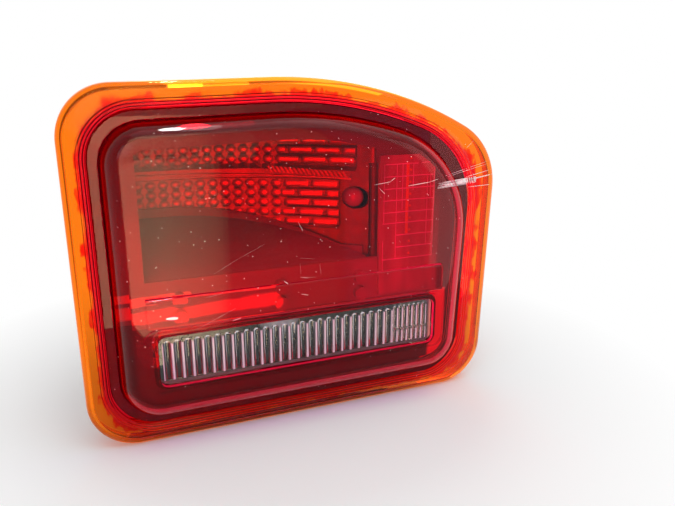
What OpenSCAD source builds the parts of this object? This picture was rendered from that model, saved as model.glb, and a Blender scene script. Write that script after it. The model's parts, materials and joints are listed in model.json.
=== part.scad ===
// Rear lamp of a car: one sealed housing with a red moulded lens, a clear reversing window,
// metallised reflectors, bulbs on a rear carrier, two fixing studs and a locating peg.
// X runs to the right seen from behind the car, Y runs forward into the body, Z is up.
// The origin is midway between the studs, on the plane where the lamp seats on the body.
// Depths are measured from the main face of the lens, which lies at Y = -lamp_depth.

/* [Lamp outline] */
// From the stud centre to the left edge
lamp_left = 124; // [120:1:136]
// From the stud centre to the right edge
lamp_right = 101.2; // [99:0.2:110]
// From the stud centre to the top edge
lamp_top = 85; // [83:1:94]
// From the stud centre to the bottom edge
lamp_bottom = 93; // [91:1:104]
// From the lens face to the seat on the body
lamp_depth = 95; // [92:1:120]
// Radius of the long arc along the top edge
top_r = 220; // [210:5:260]
// Sideways place of the highest point of the top edge
peak_x = -23; // [-30:1:-18]
// Radius of the upper right corner
corner_r = 38.1; // [34:0.1:42]
// Lean of the right edge, top to bottom
side_lean = 2.9; // [0:0.1:4]

/* [Lens] */
// Wall of the lens
lens_wall = 2.5; // [2:0.1:3]
// Width of the bright rim along the right side
rim_side = 18.1; // [16:0.1:20]
// Width of the bright rim along the other sides
rim_width = 12; // [11:0.5:13]
// Depth at which the rim ends behind the face
rim_back = 26; // [23:1:30]
// Width of the seal band
band_w = 3.8; // [3.2:0.1:4.4]
// Height of the proud bar across the face
bar_h = 14; // [11:0.5:15]
// Top of the proud bar, below the stud centre
bar_drop = 12; // [11.5:0.5:14]
// How far the bar stands proud
bar_proud = 2.5; // [1.5:0.1:3]
// Number of thin ribs moulded around the band
rib_count = 3; // [1:1:3]

/* [Reversing window] */
// From the left edge of the lamp to the clear window
window_in = 34; // [33:1:50]
// Height of the clear window
window_h = 25.5; // [20:0.5:26]
// Right edge of the window from the stud centre
window_right = 56; // [48:0.5:57]
// Gap between the bar and the window
window_gap = 5; // [4.5:0.5:6]
// Pitch of the upright flutes
flute_pitch = 4.8; // [3.5:0.1:6]

/* [Reflectors] */
// Depth of the tail reflector at its left end
reflector_depth = 55; // [50:1:58]
// Where the reflector starts to sweep forward
sweep_x = -75; // [-78:1:-72]
// Wall of the reflectors
reflector_wall = 2; // [1.6:0.1:2.4]
// Pitch of the reflector pillows across
pillow_w = 6; // [5:0.5:9]
// Pitch of the reflector pillows upward
pillow_h = 4.8; // [4.2:0.2:5.2]
// How far a pillow stands out
pillow_rise = 1; // [0.5:0.1:1.3]
// Depth of the reversing reflector
trough_depth = 34; // [26:1:38]

/* [Marker optic] */
// From the left edge of the ladder optic to the marker bulb
ladder_in = 4.5; // [3.5:0.5:5]
// Width of the ladder optic
ladder_w = 32; // [29:0.5:33]
// Top of the ladder optic
ladder_top = 46.5; // [40:0.5:48]
// Pitch of the ladder rungs
rung_pitch = 6.2; // [5:0.1:8]

/* [Housing] */
// Wall of the housing
wall = 2.5; // [2:0.1:3]
// Height of the stud bosses behind the rear wall
seat_h = 16.5; // [14:0.5:18]
// From the edge of the bulb carrier to a stud
stud_gap = 17; // [16.5:0.5:17.5]
// Diameter of a stud
stud_d = 6; // [5:0.5:7]
// How far a stud reaches past the seat
stud_reach = 22; // [16:1:30]
// From the edge of the bulb carrier to the locating peg
peg_gap = 23; // [22:1:25]
// Height of the locating peg
peg_z = 44; // [36:1:45]
// Diameter of the locating peg
peg_d = 8; // [6:0.5:9]
// How far the locating peg reaches past the seat
peg_reach = 14; // [10:1:18]

/* [Bulb carrier] */
// Width of the bulb carrier plate
carrier_w = 94; // [92:1:96]
// Height of the bulb carrier plate
carrier_h = 104; // [103:1:106]
// Height of the middle of the carrier plate
carrier_z = -11; // [-12:0.5:-10]
// Thickness of the carrier plate
carrier_t = 2.5; // [2:0.1:3.2]
// Number of pins in the connector
pin_count = 5; // [3:1:5]
// Distance between connector pins
pin_pitch = 4; // [3.5:0.1:4.2]
// Height of the stop and tail bulb
stop_z = 24; // [22:0.5:25]
// From the stop and tail bulb to the end of the reflector
stop_in = 7.5; // [7:0.5:8.5]
// From the left edge of the carrier plate to the reversing bulb
reverse_in = 27; // [24:0.5:29]

/* [Hidden] */

$fn = 48;
// segments in each corner arc of an outline
arc_steps = 12;
overcut = 1;

// corner circles of the lamp: centre across, centre up, radius; anticlockwise from lower right
function lamp_shape(side, edge, r, rc) = let(
        arc = top_r - edge,
        arc_z = lamp_top - top_r,
        cx = lamp_right - side - r,
        turn = acos((cx - peak_x) / (arc - r))
    ) [
        [lamp_right - side - side_lean - rc, edge + rc - lamp_bottom, rc],
        [cx, arc_z + (arc - r) * sin(turn), r],
        [peak_x, arc_z, arc],
        [edge + rc - lamp_left, lamp_top - top_drop - edge - rc, rc],
        [edge + rc - lamp_left, edge + rc - lamp_bottom, rc]
    ];

// direction of the outward normal on the line that touches circles p and q
function touch_angle(p, q) = let(
        span = norm([q[0] - p[0], q[1] - p[1]]),
        lean = min(1, max(-1, (p[2] - q[2]) / span))
    ) atan2(q[1] - p[1], q[0] - p[0]) - acos(lean);

// a closed outline without the points that fall on the one before them
function cleaned(points) = let(n = len(points)) [
    for (i = [0:n - 1])
        if (norm(points[i] - points[(i + n - 1) % n]) > 0.001) points[i]
];

// outline around corner circles, grown or shrunk by grow
function outline(circles, grow = 0) = let(m = len(circles)) cleaned([
    for (i = [0:m - 1])
        let(
            here = circles[i],
            from = touch_angle(circles[(i + m - 1) % m], here),
            raw = touch_angle(here, circles[(i + 1) % m]),
            to = raw + 360 * ceil((from - raw) / 360)
        )
        for (k = [0:arc_steps])
            let(a = from + (to - from) * k / arc_steps)
            [here[0] + (here[2] + grow) * cos(a), here[1] + (here[2] + grow) * sin(a)]
]);

top_drop = 2;
corner_small = 22;
band_r = 46.3;
face_r = 56.1;
rim_shape = lamp_shape(0, 0, corner_r, corner_small + 3);
band_shape = lamp_shape(rim_side, rim_width, band_r, corner_small);
face_shape = lamp_shape(rim_side + band_w, rim_width + band_w, face_r, corner_small - 2);

// depths of the layers behind the lens face
groove_d = 12.4;
seal_top = groove_d + lens_wall;
seal_t = 3.1;
flange_d = seal_top + seal_t;
bezel_d = 8.5;
bezel_t = 2;
bezel_back = bezel_d + bezel_t;
rear_d = lamp_depth - seat_h;
gasket_t = 1.5;
carrier_d = rear_d + gasket_t;
carrier_back = carrier_d + carrier_t;

// insets of the inner pieces from the face outline
skirt_in = 8;
skirt_t = 2;
chamber_in = 13;
chamber_top_in = chamber_in - reflector_wall;

// upper chamber
chamber_left = lamp_left - 31;
marker_gap = 17;
marker_x = carrier_w / 2 - marker_gap;
ladder_left = marker_x - ladder_in;
ladder_right = ladder_left + ladder_w;
chamber_right = ladder_left - 1.5;
stop_x = chamber_right - stop_in;
reflector_sweep = pow(chamber_right - sweep_x, 2) / (reflector_depth - bezel_back);
chamber_bottom = -bar_drop;
floor_rise = 0.5;
floor_t = 2;
floor_z = chamber_bottom + floor_rise * bezel_back;
strip_lift = 1.2;
strip_left = -chamber_left + 1;
upper_strip_z = 38;
upper_rows = 3;
lower_strip_z = 7;
lower_rows = 5;
flute_x = -15;
upper_strip_right = chamber_right - 8;
lower_strip_right = chamber_right - 15;

// reversing chamber
window_left = window_in - lamp_left;
window_w = window_right - window_left;
window_top = -bar_drop - bar_h - window_gap;
window_bottom = window_top - window_h;
window_r = 4;
trough_margin = 1;
flute_gap = 4.5;
border_side = 6;
border_right = 6.5;
border_top = 3.5;
border_low = 3;
reverse_z = (window_top + window_bottom) / 2;

// bulbs, by depth of tip and of flange
wedge_r = 5.2;
wedge_tip = 14;
wedge_len = 30;
wedge_hole = wedge_r + 0.7;
reverse_r = 12.5;
reverse_len = 30;
reverse_x = reverse_in - carrier_w / 2;
reverse_rise = 20.5;
reverse_flange = carrier_d - reverse_rise;
reverse_tip = reverse_flange - reverse_len;
base_r = 7.5;
base_clear = 3.5;
base_len = reverse_rise - base_clear;
marker_z = 6;
marker_r = 5;
marker_tip = 22;
marker_len = 21;
ladder_low = -bar_drop - bar_h - 1;
ladder_rest = 4;
ladder_edge = 1.5;
ladder_end = 3;
ladder_lift = 3.5;
cavity_end = 4;
pinch_step = 2.4;
pinch_t = 2.6;
pinch_len = 8;
pin_back = 6;
socket_gap = 0.2;
tower_r = 9.4;
marker_tower_r = 6.6;

// fixings
stud_x = carrier_w / 2 + stud_gap;
boss_r = 8;
fit = 0.05;
stud_head_r = 5.6;
stud_head_t = 4;
stud_ledge = 5;
stud_neck_r = stud_d / 2 + 0.3;
seal_ring_r = 7;
seal_ring_t = 1.5;
peg_x = -carrier_w / 2 - peg_gap;
peg_boss_r = 7;
peg_collar_r = 5.5;
screw_r = 1.3;
screw_head_r = 3;
screw_head_t = 2;
screw_len = 7;
tab_z = 10.5;
tab_drop = 8;
screw_cols = [15 - chamber_left, -28, chamber_right - 9];
upper_screw_z = chamber_bottom - 4;
lower_screw_z = window_top + 6.4;
carrier_screw_x = carrier_w / 2 - 4;
carrier_screw_z = [carrier_z + 40, carrier_z - 36];
carrier_screw_r = 1.6;
carrier_head_r = 3;
carrier_screw_len = 11;
seat_ring_t = 3;
seat_ring_gap = 4;
taper_d = 14;
rib_t = 2;
rib_h = 7;
left_rib_x = 29 - lamp_left;
right_rib_in = 35;
left_rib_z = [-52, -26, 20];
right_rib_z = [-40, 24];
seat_foam_w = 6;
seat_foam_t = 4;
pad_room = lamp_left - rim_width - band_w - 8.5 - stud_x - boss_r;
pad_w = 0.5 * pad_room;
pad_left = -stud_x - boss_r - 0.85 * pad_room;
pad_rim = pad_w / 7;
pad_h = 10;
pad_t = 4;
pad_z = [-39, -3];
aperture_side = 10;
aperture_end = 6;
gasket_side = 6.5;
gasket_end = 2.5;

// connector
socket_x = 25 - carrier_w / 2;
socket_z = -8;
socket_wall = 1.6;
socket_h = 12.8;
socket_len = 16;
socket_w = pin_count * pin_pitch + 5.6;
pin_w = 1.6;
pin_len = 8;
track_w = 2;
track_t = 0.6;
track_gap = 0.5;

// a flat outline in X and Z, made solid from depth d0 to depth d1
module slab(d0, d1) {
    translate([0, d1 - lamp_depth, 0])
        rotate([90, 0, 0])
            linear_extrude(d1 - d0)
                children();
}

// a round bar along the depth, r0 at the front end and r1 at the back end
module bar(x, z, d0, d1, r0, r1 = -1) {
    translate([x, d1 - lamp_depth, z])
        rotate([90, 0, 0])
            cylinder(h = d1 - d0, r1 = r1 < 0 ? r0 : r1, r2 = r0);
}

// a block between two corners given as across, depth, up
module block(a, b) {
    translate([a[0], a[1] - lamp_depth, a[2]])
        cube(b - a);
}

// a flat ring between two outlines
module ring(outer, inner) {
    difference() {
        polygon(outer);
        polygon(inner);
    }
}

// a rectangle with round corners, from its lower left to its upper right corner
module plate(x0, z0, x1, z1, r) {
    polygon(outline([[x1 - r, z0 + r, r], [x1 - r, z1 - r, r],
        [x0 + r, z1 - r, r], [x0 + r, z0 + r, r]]));
}

// a closed skin through flat rings, each given as [outline, depth], from the back forward
module loft(rings) {
    n = len(rings[0][0]);
    last = len(rings) - 1;
    points = [for (ring = rings) for (p = ring[0]) [p[0], ring[1] - lamp_depth, p[1]]];
    sides = [
        for (k = [0:last - 1])
            for (i = [0:n - 1])
                let(j = (i + 1) % n, a = k * n + i, b = k * n + j, c = b + n, d = a + n)
                for (face = [[a, d, c], [a, c, b]])
                    face
    ];
    back_cap = [for (i = [0:n - 1]) i];
    front_cap = [for (i = [n - 1:-1:0]) last * n + i];
    polyhedron(concat(points), concat([back_cap, front_cap], sides), convexity = 6);
}

// the middle part of an outline, drawn in towards the centre of the face
function drawn_in(points, share) = [for (p = points) [p[0] * share, p[1] * share]];

module outer_lens() {
    rib = 0.5;
    rib_pitch = 1.4;
    first_rib = 1.6;
    color([0.8, 0.03, 0.04])
        union() {
            difference() {
                loft(concat([
                        [outline(rim_shape), rim_back],
                        [outline(rim_shape), groove_d + 3.6],
                        [outline(rim_shape, -1.2), groove_d + 1.9],
                        [outline(rim_shape, -3), groove_d + 1]
                    ],
                    [for (k = [rib_count - 1:-1:0])
                        for (step = [[0.5, 0], [0, -rib], [-0.5, 0]])
                            [outline(band_shape, first_rib + rib_pitch * k + step[0]), groove_d - 0.5 + step[1]]],
                    [
                        [outline(band_shape, 0.8), groove_d - 0.6],
                        [outline(band_shape), groove_d],
                        [outline(face_shape), groove_d],
                        [outline(face_shape, -0.8), groove_d - 1.8],
                        [outline(face_shape, -2.5), groove_d - 6.4],
                        [outline(face_shape, -5), groove_d - 9.8],
                        [outline(face_shape, -8.5), groove_d - 11.7],
                        [outline(face_shape, -12), 0],
                        [drawn_in(outline(face_shape, -12), 0.6), -1]
                    ]));
                loft([
                    [outline(rim_shape, -lens_wall), rim_back + overcut],
                    [outline(rim_shape, -lens_wall), groove_d + 2.6 + lens_wall],
                    [outline(rim_shape, -lens_wall - 1.2), groove_d + 1.2 + lens_wall],
                    [outline(band_shape, 1), groove_d - 0.3 + lens_wall],
                    [outline(band_shape), groove_d + lens_wall],
                    [outline(face_shape, -2), groove_d + lens_wall],
                    [outline(face_shape, -3), groove_d - 1.4],
                    [outline(face_shape, -4.8), groove_d - 5.4],
                    [outline(face_shape, -7), groove_d - 8],
                    [outline(face_shape, -10), groove_d - 9.5],
                    [outline(face_shape, -13), lens_wall],
                    [drawn_in(outline(face_shape, -13), 0.6), lens_wall - 1]
                ]);
                slab(-6, bezel_d)
                    plate(window_left, window_bottom, window_right, window_top, window_r);
            }
            lens_bar();
            window_border();
        }
}

// proud bar across the lens with a rounded upper edge
module lens_bar() {
    bar_left = window_left - 4;
    bar_right = window_right + 4;
    round_r = 2;
    top_z = -bar_drop;
    low_z = -bar_drop - bar_h;
    profile = concat(
        [[lens_wall - 1, low_z], [lens_wall - 1, top_z]],
        [for (k = [0:6]) let(a = 90 - k * 15)
            [round_r - bar_proud - round_r * cos(90 - a), top_z - round_r + round_r * sin(a)]],
        [[-bar_proud, low_z]]
    );
    translate([bar_left, -lamp_depth, 0])
        rotate([90, 0, 90])
            linear_extrude(bar_right - bar_left)
                polygon(profile);
}

// low step moulded around the clear window
module window_border() {
    slab(-1.6, lens_wall)
        difference() {
            plate(window_left - border_side, window_bottom - border_low, window_right + border_right,
                window_top + border_top, window_r + 2);
            plate(window_left, window_bottom, window_right, window_top, window_r);
        }
}

module reversing_window() {
    glass_top = 0.4;
    lip = 2.5;
    flutes = floor((window_w - 4) / flute_pitch);
    start = (window_left + window_right - flutes * flute_pitch) / 2;
    gap = 0.1;
    color([0.9, 0.92, 0.94, 0.6])
        union() {
            slab(glass_top, lens_wall + 0.5)
                plate(window_left + gap, window_bottom + gap, window_right - gap, window_top - gap, window_r);
            slab(lens_wall, lens_wall + 1.6)
                plate(window_left - lip, window_bottom - lip, window_right + lip, window_top + lip, window_r + lip);
            intersection() {
                slab(lens_wall, bezel_d)
                    plate(window_left + gap, window_bottom + gap, window_right - gap, window_top - flute_gap, 1);
                for (k = [0:flutes - 1])
                    translate([start + (k + 0.5) * flute_pitch, lens_wall + 1.6 - lamp_depth, window_bottom])
                        cylinder(h = window_h, r = flute_pitch / 2 - 0.05, $fn = 24);
            }
        }
}

module lens_seal() {
    color([0.09, 0.07, 0.08])
        slab(seal_top, flange_d)
            ring(outline(band_shape), outline(face_shape));
}

// opening of the upper chamber: straight at the right and below, following the lens elsewhere
module chamber_opening(inset, right, low) {
    intersection() {
        polygon(outline(face_shape, -inset));
        translate([-chamber_left + inset - chamber_in, low])
            square([right + chamber_left - inset + chamber_in, 2 * lamp_top]);
    }
}

module inner_bezel() {
    foot_in = 2;
    boss = 3.5;
    opening_right = window_right + trough_margin;
    color([0.16, 0.05, 0.06])
        difference() {
            union() {
                slab(bezel_d, bezel_back)
                    polygon(outline(face_shape, -skirt_in));
                slab(bezel_d, flange_d)
                    ring(outline(face_shape, -skirt_in), outline(face_shape, -skirt_in - skirt_t));
                slab(flange_d - 1.8, flange_d)
                    ring(outline(face_shape, -foot_in), outline(face_shape, -skirt_in - skirt_t));
                for (x = screw_cols)
                    for (z = [upper_screw_z, lower_screw_z])
                        bar(x, z, bezel_back - 6, bezel_back, boss);
            }
            slab(bezel_d - overcut, bezel_back + overcut)
                chamber_opening(chamber_in, chamber_right, floor_z);
            slab(bezel_d - overcut, bezel_back + overcut)
                marker_opening(ladder_rest, chamber_right - overcut, floor_z);
            slab(bezel_d - overcut, bezel_back + overcut)
                plate(window_left - trough_margin, window_bottom - trough_margin, opening_right,
                    window_top - flute_gap + trough_margin, window_r);
            for (x = screw_cols)
                for (z = [upper_screw_z, lower_screw_z])
                    bar(x, z, bezel_back - 5.5, bezel_back + overcut, screw_r + fit);
        }
}

// the outline of the ladder optic, or of the opening behind it, inset at the right and at the top
module marker_opening(inset, left, low) {
    intersection() {
        polygon(outline(face_shape, -skirt_in - 0.5 - inset));
        translate([left, low])
            square([ladder_right - inset - left, ladder_top - inset - low]);
    }
}

module marker_optic() {
    front = bezel_d - ladder_lift;
    low = -bar_drop - 2;
    rungs = floor((ladder_top - low - ladder_end) / rung_pitch);
    top_rung = ladder_top - ladder_rest;
    post_x = ladder_left + (ladder_right - ladder_left) * 0.5;
    color([0.9, 0.1, 0.25])
        intersection() {
            slab(front - 1, bezel_d)
                marker_opening(0, ladder_left, ladder_low);
            union() {
                slab(front + 1.2, bezel_d)
                    marker_opening(0, ladder_left, ladder_low);
                for (k = [0:rungs])
                    translate([ladder_left, front + 1.2 - lamp_depth, top_rung - k * rung_pitch])
                        rotate([0, 90, 0])
                            cylinder(h = ladder_right - ladder_left, r = 1, $fn = 16);
                for (x = [post_x, ladder_right - 1])
                    translate([x, front + 1.2 - lamp_depth, low])
                        cylinder(h = ladder_top - low, r = 1.2, $fn = 16);
            }
        }
}

module marker_reflector() {
    left = ladder_left + ladder_edge;
    right = ladder_right - ladder_edge;
    back = 34;
    top_z = ladder_top - ladder_rest - 2;
    low = 0.5 - bar_drop;
    t = 1.6;
    hole_r = marker_r + 0.8;
    color([0.8, 0.8, 0.82])
        difference() {
            intersection() {
                translate([0, 0, low])
                    linear_extrude(top_z - low)
                        translate([0, -lamp_depth])
                            polygon([[left, bezel_back], [left + 1, back - 8], [left + 6, back], [right - 10, back],
                                [right - 2, back - 12], [right, bezel_back]]);
                slab(bezel_back, back + overcut)
                    polygon(outline(face_shape, -skirt_in - skirt_t - 0.3));
            }
            intersection() {
                translate([0, 0, low + t])
                    linear_extrude(top_z - low - 2 * t)
                        translate([0, -lamp_depth])
                            polygon([[left + t, bezel_back - overcut], [left + t, bezel_back],
                                [left + t + 1, back - 8.5], [left + t + 5.3, back - t],
                                [right - t - 9.3, back - t], [right - t - 2, back - 12.5],
                                [right - t, bezel_back], [right - t, bezel_back - overcut]]);
                slab(bezel_back - overcut, back)
                    polygon(outline(face_shape, -skirt_in - skirt_t - 0.3 - t));
            }
            bar(marker_x, marker_z, marker_tip - 2, back + overcut, hole_r);
        }
}

// depth of the curved tail reflector at place x
function sweep(x) = reflector_depth - (x > sweep_x ? pow(x - sweep_x, 2) / reflector_sweep : 0);
curve_x = concat([-chamber_left - reflector_wall], [for (k = [0:20]) sweep_x + k * (chamber_right - sweep_x) / 20]);

// plan of everything in front of the reflector's back face
module sweep_plan(offset_d) {
    translate([0, -lamp_depth])
        polygon(concat(
            [[chamber_right, bezel_back], [-chamber_left - reflector_wall, bezel_back]],
            [for (x = curve_x) [x, max(bezel_back + 0.01, sweep(x) + offset_d)]]
        ));
}

// a field of pillows or flutes laid on the curved reflector
module optic_strip(low_z, rows, right_x) {
    nx = 2 * floor((right_x - strip_left) / pillow_w);
    nz = 2 * rows;
    step_x = (right_x - strip_left) / nx;
    step_z = pillow_h / 2;
    front = [
        for (i = [0:nx])
            for (j = [0:nz])
                let(
                    x = strip_left + i * step_x,
                    across = x > flute_x ? 1 : i % 2,
                    rise = pillow_rise * across * (j % 2)
                )
                [x, sweep(x) - strip_lift - rise - lamp_depth, low_z + j * step_z]
    ];
    back = [
        for (i = [0:nx])
            for (j = [0:nz])
                let(x = strip_left + i * step_x)
                [x, sweep(x) + 0.8 - lamp_depth, low_z + j * step_z]
    ];
    n = (nx + 1) * (nz + 1);
    function at(i, j) = i * (nz + 1) + j;
    skin = [
        for (i = [0:nx - 1])
            for (j = [0:nz - 1])
                let(a = at(i, j), b = at(i + 1, j), c = at(i + 1, j + 1), d = at(i, j + 1))
                for (face = (i + j) % 2 == 0 ? [[a, d, c], [a, c, b]] : [[a, d, b], [b, d, c]])
                    face
    ];
    skin_back = [
        for (face = skin)
            [face[2] + n, face[1] + n, face[0] + n]
    ];
    edge = concat(
        [for (i = [0:nx]) at(i, 0)],
        [for (j = [1:nz]) at(nx, j)],
        [for (i = [nx - 1:-1:0]) at(i, nz)],
        [for (j = [nz - 1:-1:1]) at(0, j)]
    );
    sides = [
        for (k = [0:len(edge) - 1])
            let(p = edge[k], q = edge[(k + 1) % len(edge)])
            for (face = [[p, q, q + n], [p, q + n, p + n]])
                face
    ];
    polyhedron(concat(front, back), concat(skin, skin_back, sides), convexity = 8);
}

module tail_reflector() {
    tab_low = chamber_bottom - tab_drop;
    strip_top = ladder_top - ladder_rest;
    color([0.78, 0.1, 0.1])
        difference() {
            union() {
                intersection() {
                    translate([0, 0, chamber_bottom])
                        linear_extrude(2 * lamp_top)
                            sweep_plan(reflector_wall);
                    slab(bezel_back, reflector_depth + 3)
                        chamber_opening(chamber_top_in, chamber_right, chamber_bottom);
                    difference() {
                        slab(bezel_back, reflector_depth + 4)
                            square(4 * lamp_left, center = true);
                        intersection() {
                            translate([0, 0, chamber_bottom + reflector_wall])
                                linear_extrude(2 * lamp_top)
                                    sweep_plan(0);
                            slab(bezel_back - overcut, reflector_depth)
                                chamber_opening(chamber_in, chamber_right + overcut, chamber_bottom + reflector_wall);
                        }
                    }
                }
                optic_strip(upper_strip_z, upper_rows, upper_strip_right);
                optic_strip(lower_strip_z, lower_rows, lower_strip_right);
                slab(bezel_back, bezel_back + reflector_wall)
                    translate([-chamber_left, tab_low])
                        square([chamber_right + chamber_left, chamber_bottom - tab_low + reflector_wall]);
                slab(bezel_back, bezel_back + reflector_wall)
                    translate([chamber_right - reflector_wall, chamber_bottom])
                        square([ladder_left + ladder_edge - chamber_right + reflector_wall - 0.2, strip_top - chamber_bottom]);
            }
            bar(stop_x, stop_z, bezel_back + reflector_wall, reflector_depth + 5, wedge_hole);
            for (x = screw_cols)
                bar(x, upper_screw_z, bezel_d, bezel_back + 2 * reflector_wall, screw_r + 0.3);
        }
}

module chamber_floor() {
    clear = strip_lift + pillow_rise + 0.3;
    low = chamber_bottom + floor_rise * bezel_back - floor_t;
    rise = floor_rise * (reflector_depth - bezel_back);
    thin = 1;
    right = sweep_x + sqrt(reflector_sweep * (reflector_depth - clear - bezel_back - thin));
    color([0.13, 0.06, 0.07])
        intersection() {
            translate([-chamber_left + 0.2, 0, 0])
                rotate([90, 0, 90])
                    linear_extrude(right + chamber_left - 0.2)
                        translate([-lamp_depth, 0])
                            polygon([[bezel_back, low], [reflector_depth, low + rise],
                                [reflector_depth, low + rise + floor_t], [bezel_back, low + floor_t]]);
            translate([0, 0, chamber_bottom])
                linear_extrude(lamp_top)
                    sweep_plan(-clear);
        }
}

module reversing_reflector() {
    mid = reverse_z;
    half = window_h / 2 + trough_margin;
    steps = 14;
    front = bezel_back;
    back = front + trough_depth;
    inner = [for (k = [0:steps]) let(s = -1 + 2 * k / steps) [back - trough_depth * s * s, mid + half * s]];
    outer = [for (k = [0:steps]) let(s = -1 + 2 * k / steps)
        [back + reflector_wall - trough_depth * s * s, mid + (half + reflector_wall) * s]];
    left = window_left - trough_margin;
    right = window_right + trough_margin;
    color([0.82, 0.82, 0.84])
        difference() {
            union() {
                translate([left - reflector_wall, -lamp_depth, 0])
                    rotate([90, 0, 90])
                        linear_extrude(right - left + 2 * reflector_wall)
                            polygon(concat(outer, [[front, mid + half + reflector_wall], [front, mid - half - reflector_wall]]));
                slab(front, front + reflector_wall)
                    translate([left, window_top])
                        square([right - left, tab_z]);
            }
            translate([left, -lamp_depth, 0])
                rotate([90, 0, 90])
                    linear_extrude(right - left)
                        polygon(concat(inner, [[front - overcut, mid + half], [front - overcut, mid - half]]));
            bar(reverse_x, reverse_z, reverse_tip - 1.5, back + reflector_wall + overcut, reverse_r + 0.8);
            for (x = screw_cols)
                bar(x, lower_screw_z, bezel_d, bezel_back + 2 * reflector_wall, screw_r + 0.3);
        }
}

module reflector_screws() {
    head_d = bezel_back + reflector_wall;
    color([0.7, 0.7, 0.72])
        for (x = screw_cols)
            for (z = [upper_screw_z, lower_screw_z])
                union() {
                    bar(x, z, head_d, head_d + screw_head_t, screw_head_r, screw_head_r - 0.6);
                    bar(x, z, head_d - screw_len, head_d, screw_r);
                }
}

// opening in the rear wall that the bulb carrier closes
module carrier_outline(side, end, r) {
    plate(-carrier_w / 2 + side, carrier_z - carrier_h / 2 + end, carrier_w / 2 - side,
        carrier_z + carrier_h / 2 - end, r);
}

module rear_housing() {
    back_r = 8.5;
    lip_w = 1.5;
    ring_out = seat_ring_gap + seat_ring_t;
    color([0.12, 0.12, 0.13])
        difference() {
            union() {
                housing_shell();
                slab(flange_d, flange_d + wall)
                    ring(outline(band_shape, lip_w), outline(face_shape, -4));
                slab(seal_top + 0.5, flange_d)
                    ring(outline(band_shape, lip_w), outline(band_shape));
                slab(seal_top + 0.5, flange_d)
                    ring(outline(face_shape), outline(face_shape, -lip_w));
                for (x = [-stud_x, stud_x])
                    bar(x, 0, rear_d - wall - 5, lamp_depth, boss_r);
                bar(peg_x, peg_z, rear_d - wall, lamp_depth, peg_boss_r);
                slab(rear_d - 0.5, lamp_depth - seat_foam_t)
                    difference() {
                        carrier_outline(-ring_out, -ring_out, 8 + ring_out);
                        carrier_outline(-seat_ring_gap, -seat_ring_gap, 8 + seat_ring_gap);
                    }
                for (x = [-carrier_screw_x, carrier_screw_x])
                    for (z = carrier_screw_z)
                        bar(x, z, rear_d - carrier_screw_len, rear_d - wall / 2, carrier_screw_r + 2);
                rear_ribs();
                for (z = pad_z)
                    block([pad_left, rear_d - 1, z - pad_h / 2],
                        [pad_left + pad_w, lamp_depth - pad_t, z + pad_h / 2]);
            }
            for (z = pad_z)
                block([pad_left + pad_rim, rear_d, z - pad_h / 2 - overcut],
                    [pad_left + pad_w - pad_rim, lamp_depth - pad_t - 2, z + pad_h / 2 - 2]);
            slab(rear_d - wall - overcut, rear_d + overcut)
                carrier_outline(aperture_side, aperture_end, 6);
            for (x = [-stud_x, stud_x]) {
                bar(x, 0, rear_d - wall - 6, lamp_depth + overcut, stud_neck_r + fit);
                bar(x, 0, rear_d - wall - 6, rear_d + stud_ledge, stud_head_r + fit);
                bar(x, 0, lamp_depth - seal_ring_t, lamp_depth + overcut, seal_ring_r + fit);
            }
            bar(peg_x, peg_z, rear_d + 4, lamp_depth + overcut, peg_d / 2 + fit);
            for (x = [-carrier_screw_x, carrier_screw_x])
                for (z = carrier_screw_z)
                    bar(x, z, rear_d - carrier_screw_len + 2, rear_d + overcut, carrier_screw_r + fit);
            for (x = vent_x)
                bar(x, vent_z, rear_d - 6, rear_d + overcut, vent_hole_r);
        }
}
vent_x = [-84, 0];
vent_z = 53.5;
vent_hole_r = 2;

module housing_shell() {
    difference() {
        loft([
            [outline(face_shape, -8.5), rear_d],
            [outline(face_shape, -6.2), rear_d - 1],
            [outline(face_shape, -5), rear_d - 4],
            [outline(face_shape, -4), rear_d - taper_d],
            [outline(face_shape, -1.5), flange_d]
        ]);
        loft([
            [outline(face_shape, -8.5 - wall), rear_d - wall],
            [outline(face_shape, -6.2 - wall), rear_d - wall - 1],
            [outline(face_shape, -5 - wall), rear_d - wall - 4],
            [outline(face_shape, -4 - wall), rear_d - wall - taper_d],
            [outline(face_shape, -1.5 - wall), flange_d - overcut]
        ]);
    }
}

// stiffening ribs on the rear wall, outside the carrier ring
module rear_ribs() {
    ring_x = carrier_w / 2 + seat_ring_gap + 1;
    for (z = left_rib_z)
        block([left_rib_x, rear_d - 1, z - rib_t / 2], [-ring_x, rear_d + rib_h, z + rib_t / 2]);
    for (z = right_rib_z)
        block([ring_x, rear_d - 1, z - rib_t / 2], [lamp_right - right_rib_in, rear_d + rib_h, z + rib_t / 2]);
}

module vent_caps() {
    color([0.2, 0.2, 0.21])
        for (x = vent_x)
            difference() {
                union() {
                    bar(x, vent_z, rear_d, rear_d + 4, 4.5, 4);
                    bar(x, vent_z, rear_d - 3, rear_d, vent_hole_r - fit);
                }
                bar(x, vent_z, rear_d - 3 - overcut, rear_d + 2.4, 1);
                block([x - 5, rear_d + 1.2, vent_z - 0.8], [x + 5, rear_d + 2.4, vent_z + 0.8]);
            }
}

// socket tower on the carrier, with its pocket left open at the front
module tower(x, z, front, floor_d, r, rim) {
    difference() {
        union() {
            bar(x, z, front, carrier_d + 0.5, r);
            bar(x, z, front, front + 3, r + rim);
        }
        bar(x, z, front - overcut, floor_d, r - 1.8);
    }
}

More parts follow.
